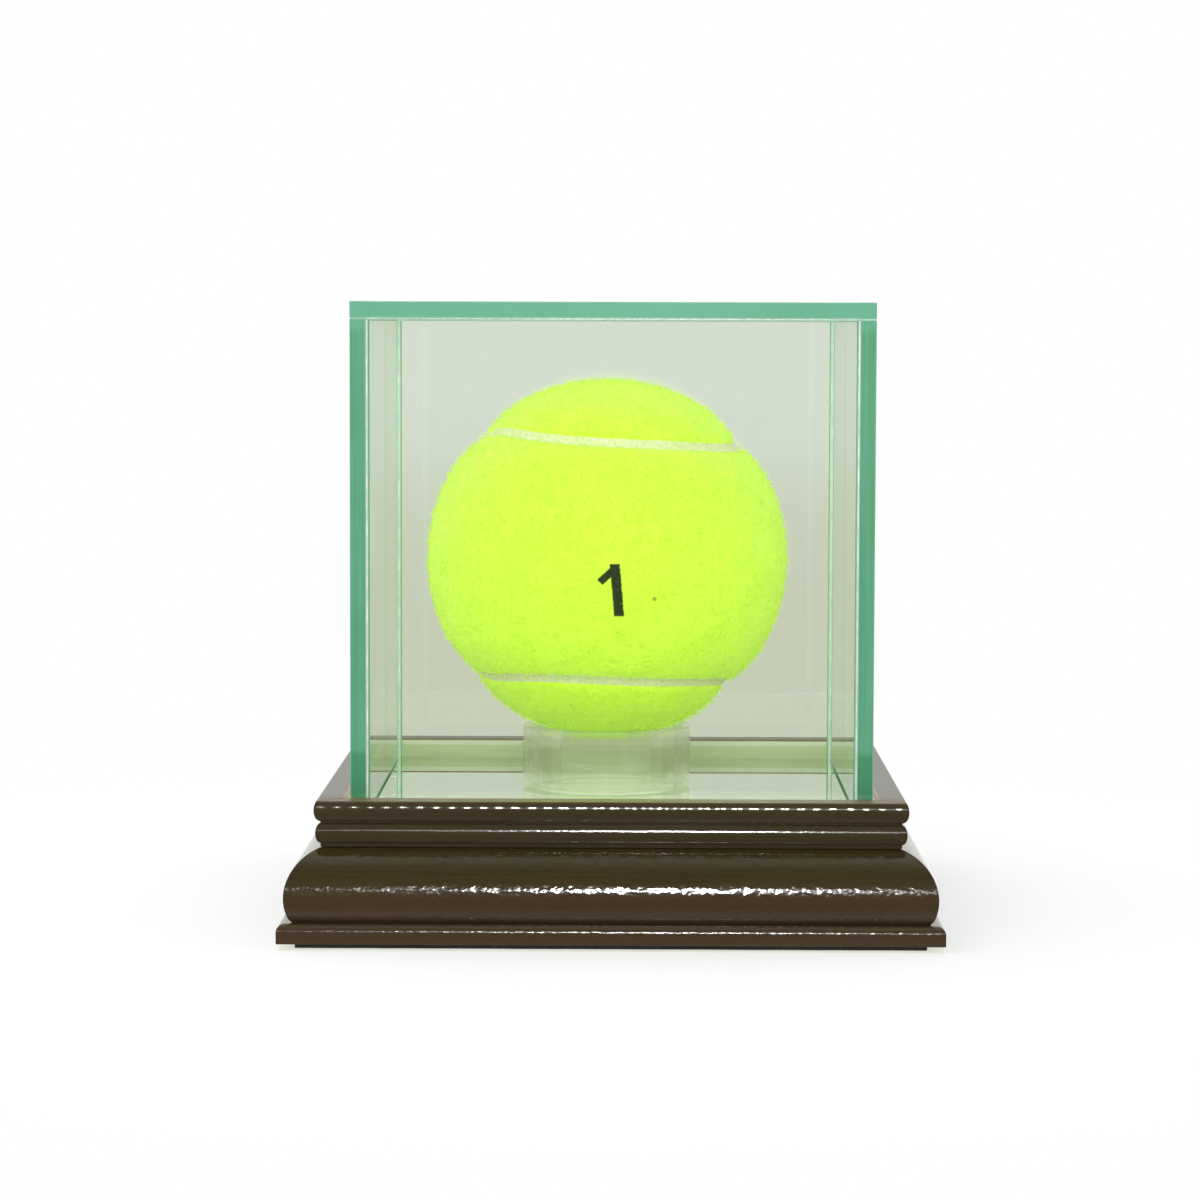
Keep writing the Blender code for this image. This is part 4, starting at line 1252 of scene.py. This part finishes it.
def fibre_shape(tree, given):
    """One bent, tapered fibre that stands on the origin."""
    length = given.out("Length")
    root, bend, tip = (tree.add("ShaderNodeCombineXYZ", {},
                                {axis: length * share for axis, share in enumerate(shares) if share})
                       for shares in (FIBRE_ROOT, FIBRE_BEND, FIBRE_TIP))
    line = tree.add("GeometryNodeCurveQuadraticBezier", {},
                    {"Resolution": 2, "Start": root, "Middle": bend, "End": tip})
    taper = FIBRE_THICK_ROOT - tree.add("GeometryNodeSplineParameter") * FIBRE_TAPER
    circle = tree.add("GeometryNodeCurvePrimitiveCircle", {},
                      {"Resolution": 3, "Radius": given.out("Radius")})
    return tree.add("GeometryNodeCurveToMesh", {},
                    {"Curve": line, "Profile Curve": circle, "Scale": taper, "Fill Caps": True})


def nap_tree():
    """Short bent fibres over the marked part of a mesh, joined to it."""
    tree, given = new_geometry_tree("felt nap", [
        ("Density", "Float", 1.0), ("Length", "Float", FIBRE_LENGTH), ("Radius", "Float", FIBRE_RADIUS),
        ("Seed", "Int", 0), ("Material", "Material", None)])
    marked = tree.add("GeometryNodeInputNamedAttribute", {"data_type": "FLOAT"}, {"Name": "nap"})
    scatter = tree.add("GeometryNodeDistributePointsOnFaces", {},
                       {"Mesh": given.out("Geometry"), "Density": given.out("Density") * marked,
                        "Seed": given.out("Seed")})
    least, most = FIBRE_TILTS
    tilt = tree.add("FunctionNodeRandomValue", {"data_type": "FLOAT_VECTOR"},
                    {0: least, 1: most, "Seed": 1})
    tilted = tree.add("FunctionNodeRotateRotation", {"rotation_space": "LOCAL"},
                      {0: scatter.out("Rotation"),
                       1: tree.add("FunctionNodeEulerToRotation", {}, {0: tilt})})
    fibres = tree.add("GeometryNodeInstanceOnPoints", {},
                      {"Points": scatter, "Instance": fibre_shape(tree, given), "Rotation": tilted,
                       "Scale": random_number(tree, *FIBRE_SIZES, seed=2)})
    shade = random_number(tree, 0.0, 1.0, seed=3)
    shaded = tree.add("GeometryNodeStoreNamedAttribute", {"data_type": "FLOAT", "domain": "INSTANCE"},
                      {"Geometry": fibres, "Name": "shade", "Value": shade})
    joined = tree.add("GeometryNodeJoinGeometry", {}, {0: [given.out("Geometry"), shaded]})
    return close_geometry_tree(tree, given, joined)


# %% [markdown]
# ## Print and dye
# The numeral is printed on the felt, so it belongs to the finish. A stroke is all the points that lie
# near enough to a short line, which needs no picture, and stays sharp from close by. The dye turns
# ultraviolet light into yellow; that is a little painted glow of the same colour, fixed under any lamp,
# which also lifts the ball's shaded side, is weaker in the painted shade between the fibres, and is left
# out under the ink.

# %% The numeral
NUMERAL_HEIGHT = 9.3               # millimetres
NUMERAL_MIDDLE = (-0.25, 60.1)     # across and up, in millimetres, on the side that faces the viewer
NUMERAL_LEAN = math.radians(5)
STEM = {"start": (0.11, 0.5), "end": (0.11, -0.5), "half_width": 0.095}     # shares of the height
FLAG = {"start": (0.10, 0.41), "end": (-0.20, 0.15), "half_width": 0.07}
STROKE_EDGE = 0.015                # how soft a stroke's edge is, as a share of the height
FRONT_OF_BALL = (-10.0, -12.0)     # print and dirt lie in front of this, in millimetres


def stroke(across, up, start, end, half_width):
    """1 on a straight stroke with square ends, and 0 off it."""
    length = math.dist(start, end)
    run = ((end[0] - start[0]) / length, (end[1] - start[1]) / length)
    along = (across - start[0]) * run[0] + (up - start[1]) * run[1]
    beside = abs((up - start[1]) * run[0] - (across - start[0]) * run[1]) - half_width
    past_an_end = abs(along - length / 2) - length / 2
    return past_an_end.most(beside).rise(STROKE_EDGE, -STROKE_EDGE)


def numeral(finish):
    """A plain number 1, as an amount of ink."""
    across = (finish.across() - NUMERAL_MIDDLE[0]) / NUMERAL_HEIGHT
    up = (finish.height() - NUMERAL_MIDDLE[1]) / NUMERAL_HEIGHT
    wobble = finish.noise(grain=0.7, detail=2.0) * 0.04 - 0.02
    across = across + up * math.tan(NUMERAL_LEAN) + wobble
    shape = stroke(across, up, **STEM).most(stroke(across, up, **FLAG))
    return shape * finish.depth().rise(*FRONT_OF_BALL)


# %% The felt's finish
OPTIC_YELLOW = (0.68, 0.97, 0.055, 1.0)
OPTIC_DEEP = (0.50, 0.76, 0.02, 1.0)
OPTIC_PALE = (0.80, 1.0, 0.12, 1.0)
OPTIC_GLOW = (0.62, 1.0, 0.04, 1.0)
OPTIC_GLOW_DEEP = (0.34, 0.6, 0.02, 1.0)
FELT_SHEEN = (0.95, 1.0, 0.75, 1.0)
FELT_GLOW = 0.29                   # painted light: a fixed glow for the dye, which gives back ultraviolet light as yellow
FLECK = seen(150, 140, 40)
DIRT = seen(140, 130, 30)
INK = seen(36, 52, 14)
SPECK = (7.4, 58.5)                # one brown speck of dirt, across and up, in millimetres
SPECK_RADII = (0.5, 0.25)          # clean outside the first, and dirty inside the second


def yellow_felt_finish():
    """Fluorescent wool felt: a painted glow gives back a little more light than falls on it."""
    finish = Finish("optic_yellow_felt")
    fibre_shade = finish.add("ShaderNodeAttribute", {"attribute_name": "shade"}, output=2)
    mat = finish.noise(grain=0.45, detail=4.0)
    patches = finish.noise(grain=6.0, detail=3.0)
    tufts = finish.noise(grain=1.3, detail=3.0)
    color = finish.mix(patches.rise(0.35, 0.75) * 0.35, OPTIC_YELLOW, OPTIC_DEEP)
    # painted shade: darker, and with less glow, down between the tufts and fibres
    hollow_shade = tufts.rise(0.48, 0.7) * 0.4 + mat.rise(0.5, 0.72) * 0.5
    color = finish.mix(hollow_shade, color, OPTIC_DEEP)
    color = finish.mix(fibre_shade * 0.55, color, OPTIC_PALE)
    color = finish.mix(finish.spots(density=0.11).rise(0.035, 0.02) * 0.7, color, FLECK)
    speck = ((finish.across() - SPECK[0]) ** 2 + (finish.height() - SPECK[1]) ** 2) ** 0.5
    color = finish.mix(speck.rise(*SPECK_RADII) * finish.depth().rise(*FRONT_OF_BALL), color, DIRT)
    ink = numeral(finish)
    ink = ink * (1 - finish.noise(grain=0.3, detail=2.0).rise(0.66, 0.8) * 0.5)
    color = finish.mix(ink, color, INK)
    glow = finish.mix(ink, finish.mix(hollow_shade, OPTIC_GLOW, OPTIC_GLOW_DEEP), BLACK)
    return finish.plain(Base_Color=color, Roughness=0.95, IOR=1.35,
                        Sheen_Weight=0.35, Sheen_Roughness=0.6, Sheen_Tint=FELT_SHEEN,
                        Normal=finish.bump(mat * 0.2 + tufts * 0.28),
                        Emission_Color=glow, Emission_Strength=FELT_GLOW)


# %% Lay the two felts
YELLOW_FELT = yellow_felt_finish()
nap = nap_tree()
felt_area = 2 * math.pi * BALL_RADIUS ** 2
for number, (side, turn) in enumerate((("front", Matrix.Identity(4)), ("back", SWAP))):
    node = "ball_felt_" + side
    felt = add_piece("felt_" + side, felt_mesh(node, BALL_PLACE @ turn), [YELLOW_FELT])
    run_geometry_tree(felt, nap, density=FIBRES_PER_FELT / felt_area, length=FIBRE_LENGTH,
                      radius=FIBRE_RADIUS, seed=number + 1, material=YELLOW_FELT)
    hang(felt, "ball", "ball_felt", node)
    triangles = sum(len(face.vertices) - 2 for face in felt.data.polygons)
    print("felt_" + side, "has", triangles, "triangles")

# %% The seam
SEAM_STEPS = 420
SEAM_DEPTH = 1.4 * MM              # the strip's sides lie this far inside the ball's size
SEAM_ROOT = 2.5 * MM               # and it reaches this far down between the felts
SEAM_ARCH = 0.18 * MM              # its face is a little hollow, this deep in the middle
SEAM_MIDWAY = 0.75                 # and this share of it halfway to the sides
SEAM_PALE = seen(236, 244, 190)
SEAM_DULL = seen(216, 228, 150)
# painted light: the seam glows faintly in the felt's colour
SEAM_GLOW = (0.7, 0.85, 0.35, 1.0)
SEAM_GLOW_STRENGTH = 0.1


def seam_finish():
    """Pale vulcanised rubber with felt dust in it, and a faint painted glow."""
    finish = Finish("seam_rubber")
    lumps = finish.noise(grain=0.7, detail=3.0)
    color = finish.mix(lumps.rise(0.35, 0.7), SEAM_PALE, SEAM_DULL)
    return finish.plain(Base_Color=color, Roughness=0.75, Normal=finish.bump(lumps * 0.12),
                        Emission_Color=SEAM_GLOW, Emission_Strength=SEAM_GLOW_STRENGTH)


def seam_mesh():
    """A strip with a hollow face, laid along the seam's wave."""
    high = BALL_RADIUS - SEAM_DEPTH
    low = BALL_RADIUS - SEAM_ROOT
    half = SEAM_HALF / BALL_RADIUS
    midway = high - SEAM_ARCH * SEAM_MIDWAY
    section = [(-half, high), (-half / 2, midway), (0.0, high - SEAM_ARCH), (half / 2, midway),
               (half, high), (half, low), (-half, low)]
    shape = bmesh.new()
    rings = []
    for step in range(SEAM_STEPS):
        turn = 2 * math.pi * step / SEAM_STEPS
        point, across = seam_point(turn), seam_across(turn)
        rings.append([shape.verts.new(radius * (point + across * side)) for side, radius in section])
    for step, ring in enumerate(rings):
        after = rings[(step + 1) % SEAM_STEPS]
        for index in range(len(section)):
            following = (index + 1) % len(section)
            shape.faces.new((ring[index], ring[following], after[following], after[index]))
    bmesh.ops.transform(shape, matrix=BALL_PLACE, verts=shape.verts)
    return shape_to_mesh(shape, "seam_strip")


seam = add_piece("seam_strip", seam_mesh(), [seam_finish()])
hang(seam, "ball", "seam_rubber", "ball_seam")
print("the seam strip has", len(seam.data.polygons), "faces")
